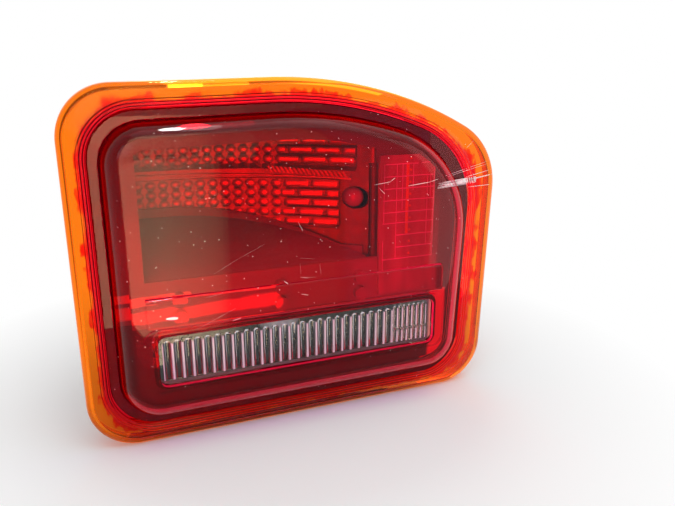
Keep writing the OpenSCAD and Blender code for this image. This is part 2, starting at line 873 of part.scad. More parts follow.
module bulb_carrier() {
    color([0.16, 0.16, 0.17])
        difference() {
            union() {
                slab(carrier_d, carrier_back)
                    carrier_outline(0, 0, 8);
                slab(carrier_back, carrier_back + 1.5)
                    difference() {
                        carrier_outline(7.5, 4, 6);
                        carrier_outline(9, 5.5, 5);
                    }
                tower(reverse_x, reverse_z, reverse_flange + 3, reverse_flange + base_len + 0.3, tower_r, 0.6);
                wedge_tower(stop_x, stop_z, wedge_tip + wedge_len, wedge_r, tower_r);
                wedge_tower(marker_x, marker_z, marker_tip + marker_len, marker_r, marker_tower_r);
                for (z = [carrier_z - 30, carrier_z + 28])
                    block([8 - carrier_w / 2, carrier_back, z - 1], [carrier_w / 2 - 8, carrier_back + 5, z + 1]);
            }
            block([reverse_x - tower_r - 2, reverse_flange + 2, reverse_z - 1.1],
                [reverse_x + tower_r + 2, reverse_flange + pin_back + 1.1, reverse_z + 1.1]);
            for (x = [-carrier_screw_x, carrier_screw_x])
                for (z = carrier_screw_z)
                    bar(x, z, carrier_d - overcut, carrier_back + overcut, carrier_screw_r + 0.3);
            slab(carrier_d - overcut, carrier_back + overcut)
                for (k = [0:pin_count - 1])
                    translate([pin_x(k), socket_z])
                        square(pin_w + 2 * fit, center = true);
        }
}

// tower with the slot that holds the pinch of a wedge bulb
module wedge_tower(x, z, pinch_d, bulb_r, r) {
    half_w = bulb_r - pinch_step / 2 + socket_gap;
    half_t = pinch_t / 2 + socket_gap;
    difference() {
        tower(x, z, pinch_d + 2, pinch_d + 3, r, 0.6);
        block([x - half_w, pinch_d + 1, z - half_t],
            [x + half_w, pinch_d + pinch_len + socket_gap, z + half_t]);
    }
}

module carrier_gasket() {
    color([0.05, 0.05, 0.06])
        slab(rear_d, carrier_d)
            difference() {
                carrier_outline(gasket_side, gasket_end, 7);
                carrier_outline(aperture_side, aperture_end, 6);
            }
}

module carrier_screws() {
    color([0.7, 0.7, 0.72])
        for (x = [-carrier_screw_x, carrier_screw_x])
            for (z = carrier_screw_z)
                difference() {
                    union() {
                        bar(x, z, carrier_back, carrier_back + 2.4, carrier_head_r, carrier_head_r - 0.8);
                        bar(x, z, carrier_back - carrier_screw_len, carrier_back, carrier_screw_r);
                    }
                    block([x - 2, carrier_back + 1.4, z - 0.35], [x + 2, carrier_back + 3, z + 0.35]);
                    block([x - 0.35, carrier_back + 1.4, z - 2], [x + 0.35, carrier_back + 3, z + 2]);
                }
}

function pin_x(k) = socket_x + (k - (pin_count - 1) / 2) * pin_pitch;

// a flat strip of metal through corners, each leg straight up or straight across
module track(corners) {
    half = track_w / 2;
    slab(carrier_d - track_t, carrier_d)
        union() {
            for (k = [0:len(corners) - 2])
                let(a = corners[k], b = corners[k + 1])
                translate([min(a[0], b[0]) - half, min(a[1], b[1]) - half])
                    square([abs(a[0] - b[0]) + track_w, abs(a[1] - b[1]) + track_w]);
        }
}

module contact_strips() {
    reverse_top = reverse_z + tower_r + track_gap + track_w / 2;
    stop_side = stop_x - tower_r - track_gap - track_w / 2;
    start = socket_z;
    routes = [
        [[pin_x(0), start], [pin_x(0), reverse_top + 3], [reverse_x, reverse_top + 3], [reverse_x, reverse_top]],
        [[pin_x(1), start], [pin_x(1), reverse_top + 7], [reverse_x + 6, reverse_top + 7],
            [reverse_x + 6, reverse_top]],
        [[pin_x(2), start], [pin_x(2), stop_z], [stop_side, stop_z]],
        [[pin_x(3), start], [pin_x(3), stop_z - 5], [stop_side, stop_z - 5]],
        [[pin_x(4), start], [pin_x(4), marker_z], [marker_x - marker_tower_r - track_gap - track_w / 2, marker_z]]
    ];
    color([0.75, 0.62, 0.3])
        for (k = [0:pin_count - 1])
            difference() {
                track(routes[k]);
                slab(carrier_d - 2, carrier_d + 1)
                    translate([pin_x(k), socket_z])
                        square(pin_w + 2 * fit, center = true);
            }
}

module connector_socket() {
    half_w = socket_w / 2;
    half_h = socket_h / 2;
    front = carrier_back;
    flange = 2;
    color([0.1, 0.1, 0.11])
        union() {
            slab(front, front + socket_len)
                difference() {
                    plate(socket_x - half_w, socket_z - half_h, socket_x + half_w, socket_z + half_h, 2);
                    plate(socket_x - half_w + socket_wall, socket_z - half_h + socket_wall,
                        socket_x + half_w - socket_wall, socket_z + half_h - socket_wall, 1);
                }
            slab(front, front + 1.6)
                difference() {
                    plate(socket_x - half_w - flange, socket_z - half_h - flange, socket_x + half_w + flange,
                        socket_z + half_h + flange, 2);
                    for (k = [0:pin_count - 1])
                        translate([pin_x(k), socket_z])
                            square(pin_w + 2 * fit, center = true);
                }
            block([socket_x - 3, front + 6, socket_z + half_h], [socket_x + 3, front + 9, socket_z + half_h + 1.4]);
            for (x = [socket_x - half_w + 2, socket_x + half_w - 3])
                block([x, front, socket_z - half_h - 1.2], [x + 1, front + socket_len, socket_z - half_h]);
        }
}

module connector_pins() {
    half = pin_w / 2;
    front = carrier_d - track_t;
    tip = carrier_back + pin_len;
    color([0.8, 0.8, 0.78])
        for (k = [0:pin_count - 1])
            union() {
                block([pin_x(k) - half, front, socket_z - half], [pin_x(k) + half, tip, socket_z + half]);
                block([pin_x(k) - half / 2, tip - 0.5, socket_z - half / 2],
                    [pin_x(k) + half / 2, tip + 1, socket_z + half / 2]);
            }
}

// glass of a capless bulb: round tip forward, flat pinch at the back
module wedge_bulb(x, z, tip, r, length) {
    color([0.93, 0.93, 0.93, 0.6])
        union() {
            translate([x, tip - lamp_depth, z])
                rotate([-90, 0, 0])
                    rotate_extrude()
                        difference() {
                            polygon(concat([[0, length]], [[r, length - 3]], dome(r, 0)));
                            polygon(concat([[0, length - cavity_end]], [[r - 0.8, length - cavity_end]], dome(r - 0.8, 0.8)));
                        }
            block([x - r + pinch_step / 2, tip + length - 0.5, z - pinch_t / 2],
                [x + r - pinch_step / 2, tip + length + pinch_len, z + pinch_t / 2]);
        }
}

// quarter circle from the side of a bulb round to its tip
function dome(r, start) = [for (k = [0:8]) let(a = 90 * k / 8) [r * cos(a), start + r - r * sin(a)]];

module stop_tail_bulb() {
    wedge_bulb(stop_x, stop_z, wedge_tip, wedge_r, wedge_len);
}

// two upright supports and a fine coil between them
module filament(x, z, coil_d, foot_d, half, count) {
    color([0.6, 0.6, 0.58])
        for (k = [0:count - 1])
            let(level = z + (k - (count - 1) / 2) * 3)
            union() {
                for (side = [-half, half])
                    bar(x + side, level, coil_d, foot_d, 0.3);
                translate([x - half, coil_d + 0.3 - lamp_depth, level])
                    rotate([0, 90, 0])
                        cylinder(h = 2 * half, r = 0.45, $fn = 16);
            }
}

module stop_tail_filament() {
    filament(stop_x, stop_z, wedge_tip + 10, wedge_tip + wedge_len - cavity_end, 2.4, 2);
}

module marker_bulb() {
    wedge_bulb(marker_x, marker_z, marker_tip, marker_r, marker_len);
}

module marker_filament() {
    filament(marker_x, marker_z, marker_tip + 7, marker_tip + marker_len - cavity_end, 2, 1);
}

module reversing_bulb_glass() {
    neck = base_r - 0.8;
    depth = reverse_len;
    t = 0.9;
    color([0.93, 0.93, 0.93, 0.6])
        translate([reverse_x, reverse_tip - lamp_depth, reverse_z])
            rotate([-90, 0, 0])
                rotate_extrude()
                    difference() {
                        polygon(concat([[0, depth], [neck, depth], [reverse_r, depth - 11]], dome(reverse_r, 0)));
                        polygon(concat([[0, depth - t], [neck - t, depth - t], [reverse_r - t, depth - 11]],
                            dome(reverse_r - t, t)));
                    }
}

module reversing_bulb_base() {
    pin_d = reverse_flange + pin_back;
    color([0.75, 0.62, 0.3])
        union() {
            bar(reverse_x, reverse_z, reverse_flange, reverse_flange + base_len - 2, base_r);
            bar(reverse_x, reverse_z, reverse_flange + base_len - 2, reverse_flange + base_len, base_r - 1, 3);
            translate([reverse_x - base_r - 0.6, pin_d - lamp_depth, reverse_z])
                rotate([0, 90, 0])
                    cylinder(h = 2 * base_r + 1.2, r = 0.9, $fn = 24);
        }
}

module reversing_filament() {
    filament(reverse_x, reverse_z, reverse_tip + 12, reverse_flange - 0.9, 3, 1);
}

module mounting_studs() {
    head_back = rear_d + stud_ledge;
    color([0.72, 0.72, 0.74])
        for (x = [-stud_x, stud_x])
            union() {
                bar(x, 0, head_back - stud_head_t, head_back, stud_head_r);
                bar(x, 0, head_back, lamp_depth, stud_neck_r);
                bar(x, 0, lamp_depth, lamp_depth + stud_reach - 1, stud_d / 2);
                bar(x, 0, lamp_depth + stud_reach - 1, lamp_depth + stud_reach, stud_d / 2, stud_d / 2 - 0.8);
            }
}

module stud_seals() {
    color([0.06, 0.06, 0.07])
        for (x = [-stud_x, stud_x])
            difference() {
                bar(x, 0, lamp_depth - seal_ring_t, lamp_depth, seal_ring_r);
                bar(x, 0, lamp_depth - seal_ring_t - overcut, lamp_depth + overcut, stud_neck_r + fit);
            }
}

module locating_peg() {
    r = peg_d / 2;
    color([0.85, 0.84, 0.8])
        union() {
            bar(peg_x, peg_z, rear_d + 4, lamp_depth + peg_reach - 4, r);
            bar(peg_x, peg_z, lamp_depth + peg_reach - 4, lamp_depth + peg_reach, r, r - 2);
            bar(peg_x, peg_z, lamp_depth, lamp_depth + 2, peg_collar_r);
        }
}

module body_gasket() {
    spread = (seat_foam_w - seat_ring_t) / 2;
    ring_in = seat_ring_gap - spread;
    ring_out = seat_ring_gap + seat_ring_t + spread;
    color([0.05, 0.05, 0.06])
        slab(lamp_depth - seat_foam_t, lamp_depth)
            difference() {
                carrier_outline(-ring_out, -ring_out, 8 + ring_out);
                carrier_outline(-ring_in, -ring_in, 8 + ring_in);
            }
}

module bumper_pads() {
    color([0.07, 0.07, 0.08])
        for (z = pad_z)
            block([pad_left, lamp_depth - pad_t, z - pad_h / 2], [pad_left + pad_w, lamp_depth, z + pad_h / 2]);
}

outer_lens();
reversing_window();
lens_seal();
inner_bezel();
marker_optic();
marker_reflector();
tail_reflector();
chamber_floor();
reversing_reflector();
reflector_screws();
rear_housing();
vent_caps();
bulb_carrier();
carrier_gasket();
carrier_screws();
contact_strips();
connector_socket();
connector_pins();
stop_tail_bulb();
stop_tail_filament();
reversing_bulb_glass();
reversing_bulb_base();
reversing_filament();
marker_bulb();
marker_filament();
mounting_studs();
stud_seals();
locating_peg();
body_gasket();
bumper_pads();
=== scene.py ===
import json
import math

import bmesh
import bpy
import numpy as np
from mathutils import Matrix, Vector


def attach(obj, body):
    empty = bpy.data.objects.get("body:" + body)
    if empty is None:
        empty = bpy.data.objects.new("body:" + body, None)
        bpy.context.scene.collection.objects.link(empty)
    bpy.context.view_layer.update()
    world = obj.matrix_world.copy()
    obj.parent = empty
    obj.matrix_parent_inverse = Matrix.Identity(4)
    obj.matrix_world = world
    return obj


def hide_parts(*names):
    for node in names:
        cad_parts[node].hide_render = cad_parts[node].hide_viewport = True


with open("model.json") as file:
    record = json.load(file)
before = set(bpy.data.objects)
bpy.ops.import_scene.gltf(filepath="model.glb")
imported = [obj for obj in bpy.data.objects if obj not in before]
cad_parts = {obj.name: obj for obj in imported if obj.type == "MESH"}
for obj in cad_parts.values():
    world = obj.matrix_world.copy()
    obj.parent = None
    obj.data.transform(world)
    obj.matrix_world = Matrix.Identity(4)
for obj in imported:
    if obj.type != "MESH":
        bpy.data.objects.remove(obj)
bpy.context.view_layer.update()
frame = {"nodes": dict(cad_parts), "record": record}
nodes = frame["nodes"]
print("frame loaded:", len(nodes), "nodes")

# lengths are in millimetres, and a place is given as across, depth behind the lens face, height
lamp = {
    "depth": 95.0, "left": 124.0, "right": 101.2, "top": 85.0, "bottom": 93.0,
    "topRadius": 220.0, "peak": -23.0, "lean": 2.9, "topDrop": 2.0,
    # for each outline how far in it lies at the right and elsewhere, then its big radius and its small one
    "rim": (0, 0, 38.1, 25), "band": (18.1, 12, 46.3, 22), "face": (21.9, 15.8, 56.1, 20),
}


# outlines, as in the part's source: circles joined by the lines that touch them
def lampShape(side, edge, bigR, smallR):
    arcR = lamp["topRadius"] - edge
    arcZ = lamp["top"] - lamp["topRadius"]
    cornerX = lamp["right"] - side - bigR
    turn = math.acos((cornerX - lamp["peak"]) / (arcR - bigR))
    leftX, lowZ = edge + smallR - lamp["left"], edge + smallR - lamp["bottom"]
    return [
        (lamp["right"] - side - lamp["lean"] - smallR, lowZ, smallR),
        (cornerX, arcZ + (arcR - bigR) * math.sin(turn), bigR),
        (lamp["peak"], arcZ, arcR),
        (leftX, lamp["top"] - lamp["topDrop"] - edge - smallR, smallR),
        (leftX, lowZ, smallR),
    ]


def touchAngle(p, q):
    span = math.hypot(q[0] - p[0], q[1] - p[1])
    lean = min(1, max(-1, (p[2] - q[2]) / span))
    return math.degrees(math.atan2(q[1] - p[1], q[0] - p[0]) - math.acos(lean))


def outline(circles, grow=0.0, steps=28):
    found = []
    for i, here in enumerate(circles):
        start = touchAngle(circles[i - 1], here)
        raw = touchAngle(here, circles[(i + 1) % len(circles)])
        end = raw + 360 * math.ceil((start - raw) / 360)
        for k in range(steps + 1):
            a = math.radians(start + (end - start) * k / steps)
            point = (here[0] + (here[2] + grow) * math.cos(a), here[1] + (here[2] + grow) * math.sin(a))
            found.append(point)
    return [p for p, q in zip(found, found[-1:] + found[:-1]) if math.dist(p, q) > 0.001]


def plate(x0, z0, x1, z1, r, steps=10):
    corners = [(x1 - r, z0 + r, r), (x1 - r, z1 - r, r), (x0 + r, z1 - r, r), (x0 + r, z0 + r, r)]
    return outline(corners, 0, steps)


rimShape, bandShape, faceShape = (lampShape(*lamp[name]) for name in ("rim", "band", "face"))


# mesh helpers
def turns(count):
    return [math.tau * k / count for k in range(count)]


def markPoints(mesh, **marks):
    for name, values in marks.items():
        layer = mesh.attributes.new(name, "FLOAT", "POINT")
        layer.data.foreach_set("value", np.asarray(values, np.float32))


def placesOf(piece):
    found = np.array([v.co for v in piece.data.vertices]) * 1000
    found[:, 1] += lamp["depth"]
    return found


def makePiece(name, points, faces, sharpAngle=32, **marks):
    mesh = bpy.data.meshes.new(name)
    mesh.from_pydata([(x / 1000, (d - lamp["depth"]) / 1000, z / 1000) for x, d, z in points], [], faces)
    markPoints(mesh, **marks)
    piece = bpy.data.objects.new(name, mesh)
    bpy.context.scene.collection.objects.link(piece)
    tidyMesh(piece, sharpAngle)
    return piece


def tidyMesh(piece, sharpAngle):
    work = bmesh.new()
    work.from_mesh(piece.data)
    bmesh.ops.remove_doubles(work, verts=work.verts, dist=1e-7)
    bmesh.ops.dissolve_degenerate(work, edges=work.edges, dist=1e-7)
    bmesh.ops.recalc_face_normals(work, faces=work.faces)
    for face in work.faces:
        face.smooth = True
    for edge in work.edges:
        edge.smooth = len(edge.link_faces) == 2 and edge.calc_face_angle(0) < math.radians(sharpAngle)
    work.to_mesh(piece.data)
    work.free()


def joinCopy(piece, other, operation, sharpAngle=32, crossing=False):
    change = piece.modifiers.new("change", "BOOLEAN")
    change.use_self = crossing
    change.object = other
    change.operation = operation
    change.solver = "EXACT"
    graph = bpy.context.evaluated_depsgraph_get()
    piece.data = bpy.data.meshes.new_from_object(piece.evaluated_get(graph))
    piece.modifiers.clear()
    bpy.data.objects.remove(other)
    tidyMesh(piece, sharpAngle)


def ringFaces(rings, sides):
    # quads from each ring of points to the next, and a lid at both ends
    faces = []
    for k in range(rings - 1):
        for i in range(sides):
            j = (i + 1) % sides
            faces.append((k * sides + i, k * sides + j, (k + 1) * sides + j, (k + 1) * sides + i))
    return faces + [tuple(range(sides))[::-1], tuple(range((rings - 1) * sides, rings * sides))]


def loft(name, rings):
    points = [(x, depth, z) for ring, depth in rings for x, z in ring]
    return makePiece(name, points, ringFaces(len(rings), len(rings[0][0])))


def slab(name, shape, d0, d1):
    return loft(name, [(shape, d1), (shape, d0)])


def profileAcross(name, profile, x0, x1):
    return makePiece(name, [(x, d, z) for x in (x0, x1) for d, z in profile], ringFaces(2, len(profile)))


def tube(points, radius, sides=10):
    found, up = [], Vector((0.13, 0.31, 0.94))
    for i, p in enumerate(points):
        ahead = (Vector(points[min(i + 1, len(points) - 1)]) - Vector(points[max(i - 1, 0)])).normalized()
        side = ahead.cross(up).normalized()
        up = side.cross(ahead).normalized()
        found += [tuple(Vector(p) + radius * (math.cos(a) * side + math.sin(a) * up)) for a in turns(sides)]
    return found, ringFaces(len(points), sides)


def addMesh(total, part):
    points, faces = total
    base = len(points)
    points.extend(part[0])
    faces.extend(tuple(base + i for i in face) for face in part[1])


def keep(piece, slotName, material, *replaced):
    piece.data.materials.clear()
    piece.data.materials.append(material)
    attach(piece, "root")
    if replaced:
        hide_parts(*replaced)
    print(piece.name + ":", len(piece.data.polygons), "faces")


# material helpers
def newMaterial(name):
    material = bpy.data.materials.new(name)
    material.use_nodes = True
    tree = material.node_tree
    return material, tree, tree.nodes["Principled BSDF"]


def feed(tree, socket, value):
    if isinstance(value, bpy.types.NodeSocket):
        tree.links.new(value, socket)
    else:
        socket.default_value = value


def fill(tree, node, **inputs):
    for name, value in inputs.items():
        feed(tree, node.inputs[name.replace("_", " ")], value)
    return node


def addNode(tree, kind, **inputs):
    return fill(tree, tree.nodes.new("ShaderNode" + kind), **inputs)


def marked(tree, name):
    node = addNode(tree, "Attribute")
    node.attribute_name = name
    return node.outputs["Fac"]


def placeNoise(tree, scale, detail=3.0, stretch=(1, 1, 1)):
    where = addNode(tree, "TexCoord")
    mapping = addNode(tree, "Mapping", Vector=where.outputs["Object"], Scale=stretch)
    return addNode(tree, "TexNoise", Vector=mapping.outputs["Vector"], Scale=scale, Detail=detail)


def ramp(tree, value, stops):
    node = addNode(tree, "ValToRGB", Fac=value)
    for element, (place, colour) in zip(node.color_ramp.elements, stops):
        element.position = place
        element.color = (*colour, 1)
    return node.outputs["Color"]


def blendColours(tree, share, first, second):
    node = tree.nodes.new("ShaderNodeMix")
    node.data_type = "RGBA"
    for socket, value in ((node.inputs[0], share), (node.inputs[6], first), (node.inputs[7], second)):
        feed(tree, socket, (*value, 1) if isinstance(value, tuple) else value)
    return node.outputs[2]


def calculate(tree, operation, *values, clamp=False):
    node = tree.nodes.new("ShaderNodeMath")
    node.operation = operation
    node.use_clamp = clamp
    for socket, value in zip(node.inputs, values):
        feed(tree, socket, value)
    return node.outputs[0]


def placeAlong(tree, axis, low, high):
    where = addNode(tree, "TexCoord")
    parts = addNode(tree, "SeparateXYZ", Vector=where.outputs["Object"])
    node = addNode(tree, "MapRange", Value=parts.outputs[axis], From_Min=low / 1000, From_Max=high / 1000)
    node.interpolation_type = "SMOOTHSTEP"
    return node.outputs["Result"]


def within(tree, *ranges):
    # 1 where every range along an axis is past its second end, 0 before its first
    share = placeAlong(tree, *ranges[0])
    for more in ranges[1:]:
        share = calculate(tree, "MULTIPLY", share, placeAlong(tree, *more))
    return share


def addRoughness(tree, shader, noise, limits):
    rough = addNode(tree, "MapRange", Value=noise.outputs["Fac"], To_Min=limits[0], To_Max=limits[1])
    fill(tree, shader, Roughness=rough.outputs["Result"])


def addBump(tree, shader, noise, strength, depth=0.2):
    bump = addNode(tree, "Bump", Height=noise.outputs["Fac"], Strength=strength, Distance=depth / 1000)
    fill(tree, shader, Normal=bump.outputs["Normal"])


def mixShaders(tree, share, first, second):
    mix = addNode(tree, "MixShader", Fac=share)
    tree.links.new(first, mix.inputs[1])
    tree.links.new(second, mix.inputs[2])
    tree.links.new(mix.outputs["Shader"], tree.nodes["Material Output"].inputs["Surface"])


def solidFinish(name, look):
    dark, light, rough, scale, bump, bumpDepth, metal = look
    material, tree, shader = newMaterial(name)
    grain = placeNoise(tree, scale, 4.0)
    shade = ramp(tree, grain.outputs["Fac"], [(0.3, dark), (0.7, light)])
    fill(tree, shader, Base_Color=shade, Metallic=metal)
    addRoughness(tree, shader, placeNoise(tree, 40, 2.0), rough)
    addBump(tree, shader, grain, bump, bumpDepth)
    return material


def tintedMetal(name, look):
    material, tree, shader = newMaterial(name)
    grain = placeNoise(tree, look["scale"], 4.0, look.get("stretch", (1, 1, 1)))
    if "attribute" in look:
        share = marked(tree, look["attribute"])
    else:
        share = placeAlong(tree, *look["across"])
    for key, operation in (("grow", "MULTIPLY"), ("below", "MULTIPLY"), ("wall", "MAXIMUM")):
        if key in look:
            share = calculate(tree, operation, share, placeAlong(tree, *look[key]))
    mixed = blendColours(tree, share, look["dark"], look["light"])
    if "flange" in look:
        mixed = blendColours(tree, placeAlong(tree, *look["flange"]), mixed, look["flangeTone"])
    if "warm" in look:
        mixed = blendColours(tree, marked(tree, "warm"), mixed, look["warm"])
    shade = addNode(tree, "MapRange", Value=grain.outputs["Fac"], From_Min=0.3, From_Max=0.7,
                    To_Min=look.get("lowest", 0.75), To_Max=1.1)
    colour = addNode(tree, "VectorMath", Vector=mixed)
    colour.operation = "SCALE"
    fill(tree, colour, Scale=shade.outputs["Result"])
    fill(tree, shader, Base_Color=colour.outputs["Vector"], Metallic=look.get("metal", 1.0))
    addRoughness(tree, shader, placeNoise(tree, 50, 2.0), look["rough"])
    addBump(tree, shader, grain, look.get("bump", 0.06))
    return material


def clearShell(tree, shader, passTint, gloss, mirrorTint=None):
    # refracts what the camera sees, and lets shadow, diffuse and mirrored rays straight through
    path = addNode(tree, "LightPath")
    mirrored = calculate(tree, "SUBTRACT", path.outputs["Is Glossy Ray"], path.outputs["Is Transmission Ray"],
                         clamp=True)
    easy = calculate(tree, "ADD", path.outputs["Is Shadow Ray"], path.outputs["Is Diffuse Ray"])
    easy = calculate(tree, "ADD", easy, mirrored, clamp=True)
    tone = passTint if mirrorTint is None else blendColours(tree, mirrored, passTint, mirrorTint)
    through = addNode(tree, "BsdfTransparent", Color=tone)
    mixShaders(tree, easy, shader.outputs["BSDF"], through.outputs["BSDF"])
    fill(tree, shader, Transmission_Weight=1.0, IOR=1.49, Specular_Tint=(gloss, gloss, gloss, 1))


# the red lens's finish, which goes by three marks on its points: rimShare, shoulder and innerSkin; by the
# shoulder mark the steep shoulder gets a darker tint, which is painted shade
lensLook = {
    "body": (0.97, 0.008, 0.055), "shoulder": (0.42, 0.010, 0.016), "letIn": (0.97, 0.25, 0.8),
    "deep": (0.75, 0.006, 0.02), "rimInner": (0.97, 0.010, 0.002), "rimOuter": (1.0, 0.2, 0.006),
    # where on the rim each begins and ends, from 0 at the band to 1 at the edge
    "rimStarts": (0.0, 0.06), "deepEnds": (0.22, 0.42), "outerStarts": (0.37, 0.45),
    "gloss": 0.2, "rimGloss": 0.06, "innerGloss": 0.03, "rough": (0.0, 0.02),
}


def rootOf(tree, colour):
    # light crosses two skins of the shell, so each lets the square root of the colour through
    split = addNode(tree, "SeparateColor", Color=colour)
    red, green, blue = (calculate(tree, "SQRT", part) for part in split.outputs)
    return addNode(tree, "CombineColor", Red=red, Green=green, Blue=blue).outputs["Color"]


def redLens():
    look = lensLook
    material, tree, shader = newMaterial("redLens")
    share = marked(tree, "rimShare")
    jag = placeNoise(tree, 90, 5.0)
    streak = placeNoise(tree, 400, 3.0, (1, 1, 0.35))
    uneven = calculate(tree, "MULTIPLY_ADD", jag.outputs["Fac"], 0.9, -0.45)
    fine = calculate(tree, "MULTIPLY_ADD", streak.outputs["Fac"], 0.6, -0.3)
    level = calculate(tree, "ADD", calculate(tree, "ADD", share, uneven), fine, clamp=True)
    rim = ramp(tree, level, list(zip(look["outerStarts"], (look["rimInner"], look["rimOuter"]))))
    pastDeep, onRim = (addNode(tree, "MapRange", Value=share, From_Min=start, From_Max=end).outputs["Result"]
                       for start, end in (look["deepEnds"], look["rimStarts"]))
    rimTint = blendColours(tree, pastDeep, look["deep"], rim)
    # painted shade: a darker tint on the steep shoulder
    face = blendColours(tree, marked(tree, "shoulder"), look["body"], look["shoulder"])
    tint = blendColours(tree, onRim, face, rimTint)
    letIn = blendColours(tree, onRim, look["letIn"], rimTint)
    clearShell(tree, shader, rootOf(tree, letIn), look["gloss"], rootOf(tree, tint))
    gloss = blendColours(tree, onRim, (look["gloss"],) * 3, (look["rimGloss"],) * 3)
    gloss = blendColours(tree, marked(tree, "innerSkin"), gloss, (look["innerGloss"],) * 3)
    fill(tree, shader, Base_Color=tint, Specular_Tint=gloss)
    addRoughness(tree, shader, placeNoise(tree, 60, 4.0), look["rough"])
    return material


def clearPlastic(name, look):
    material, tree, shader = newMaterial(name)
    tint = look["tint"]
    haze = placeNoise(tree, 80, 4.0)
    dull = tuple(0.93 * v for v in tint)
    colour = ramp(tree, haze.outputs["Fac"], [(0.3, tint), (0.75, dull)])
    clearShell(tree, shader, (*(math.sqrt(v) for v in tint), 1), look["gloss"])
    clear = 1 - look["frost"]
    # painted highlight: the creases between flutes are painted pale and less clear
    if "cuspTone" in look:
        line = marked(tree, "cusp")
        colour = blendColours(tree, line, colour, look["cuspTone"])
        clear = calculate(tree, "SUBTRACT", 1.0, line, clamp=True)
    fill(tree, shader, Base_Color=colour, Roughness=look["rough"], Transmission_Weight=clear)
    return material


# the bezel's finish: layers over a base, each where its ranges meet, or within a slanted bar with round ends,
# which is given by its left and right end, level, slope, radius and soft edge
bezelLook = {
    "base": (0.24, 0.08, 0.08), "rough": 0.55,
    "layers": (
        # painted shade: the bezel is darker from about the middle upwards
        {"colour": (0.11, 0.05, 0.05), "ranges": (("Z", -4, 40),)},
        {"colour": (0.36, 0.14, 0.17), "ranges": (("Z", -6, -10), ("X", 62, 60), ("X", 8, 17))},
        # painted reflection: a bright orange glow behind the left part of the bar
        {"colour": (1.0, 0.3, 0.1), "bar": (-120, -31, -22.3, 0.012, 3.9, 1.4)},
        # painted highlight: a yellow line just under the bar's top edge at its left end
        {"colour": (1.0, 0.9, 0.1), "bar": (-120, -74, -13.6, 0.02, 2.6, 0.8)},
        {"colour": (0.10, 0.045, 0.045), "ranges": (("X", 61, 63),)},
        {"colour": (0.05, 0.035, 0.035), "ranges": (("Z", -28.6, -29.6),)},
        {"colour": (0.95, 0.5, 0.2), "ranges": (("X", 57, 59), ("Z", -28.6, -29.6), ("X", 69, 67))},
    ),
}


def capsule(tree, start, end, level, slope, r, edge):
    # 1 within the bar, 0 outside it
    where = addNode(tree, "TexCoord")
    parts = addNode(tree, "SeparateXYZ", Vector=where.outputs["Object"])
    x, z = parts.outputs["X"], parts.outputs["Z"]
    inside = calculate(tree, "MINIMUM", calculate(tree, "MAXIMUM", x, start / 1000), end / 1000)
    away = calculate(tree, "SUBTRACT", x, inside)
    middle = calculate(tree, "MULTIPLY_ADD", x, slope, level / 1000)
    uneven = calculate(tree, "MULTIPLY_ADD", placeNoise(tree, 90).outputs["Fac"], 0.003, -0.0015)
    drop = calculate(tree, "ADD", calculate(tree, "SUBTRACT", z, middle), uneven)
    flat = addNode(tree, "CombineXYZ", X=away, Y=drop)
    reach = addNode(tree, "VectorMath", Vector=flat.outputs["Vector"])
    reach.operation = "LENGTH"
    share = addNode(tree, "MapRange", Value=reach.outputs["Value"], From_Min=r / 1000,
                    From_Max=(r - edge) / 1000)
    share.interpolation_type = "SMOOTHSTEP"
    return share.outputs["Result"]


def innerBezel():
    material, tree, shader = newMaterial("innerBezel")
    colour = bezelLook["base"]
    for layer in bezelLook["layers"]:
        share = within(tree, *layer["ranges"]) if "ranges" in layer else capsule(tree, *layer["bar"])
        colour = blendColours(tree, share, colour, layer["colour"])
    fill(tree, shader, Base_Color=colour, Roughness=bezelLook["rough"])
    addBump(tree, shader, placeNoise(tree, 700, 4.0), 0.2)
    return material


# the other finishes, and which finish a slot or a node has
clearLooks = {
    "clearLens": {
        "tint": (0.86, 0.88, 0.9), "gloss": 0.6, "rough": 0.04, "frost": 0.0, "cuspTone": (0.95, 0.62, 0.66)},
    "bulbGlass": {"tint": (0.96, 0.96, 0.96), "gloss": 0.8, "rough": 0.05, "frost": 0.45},
    "stopBulbGlass": {"tint": (0.62, 0.36, 0.3), "gloss": 0.8, "rough": 0.1, "frost": 0.8},
}
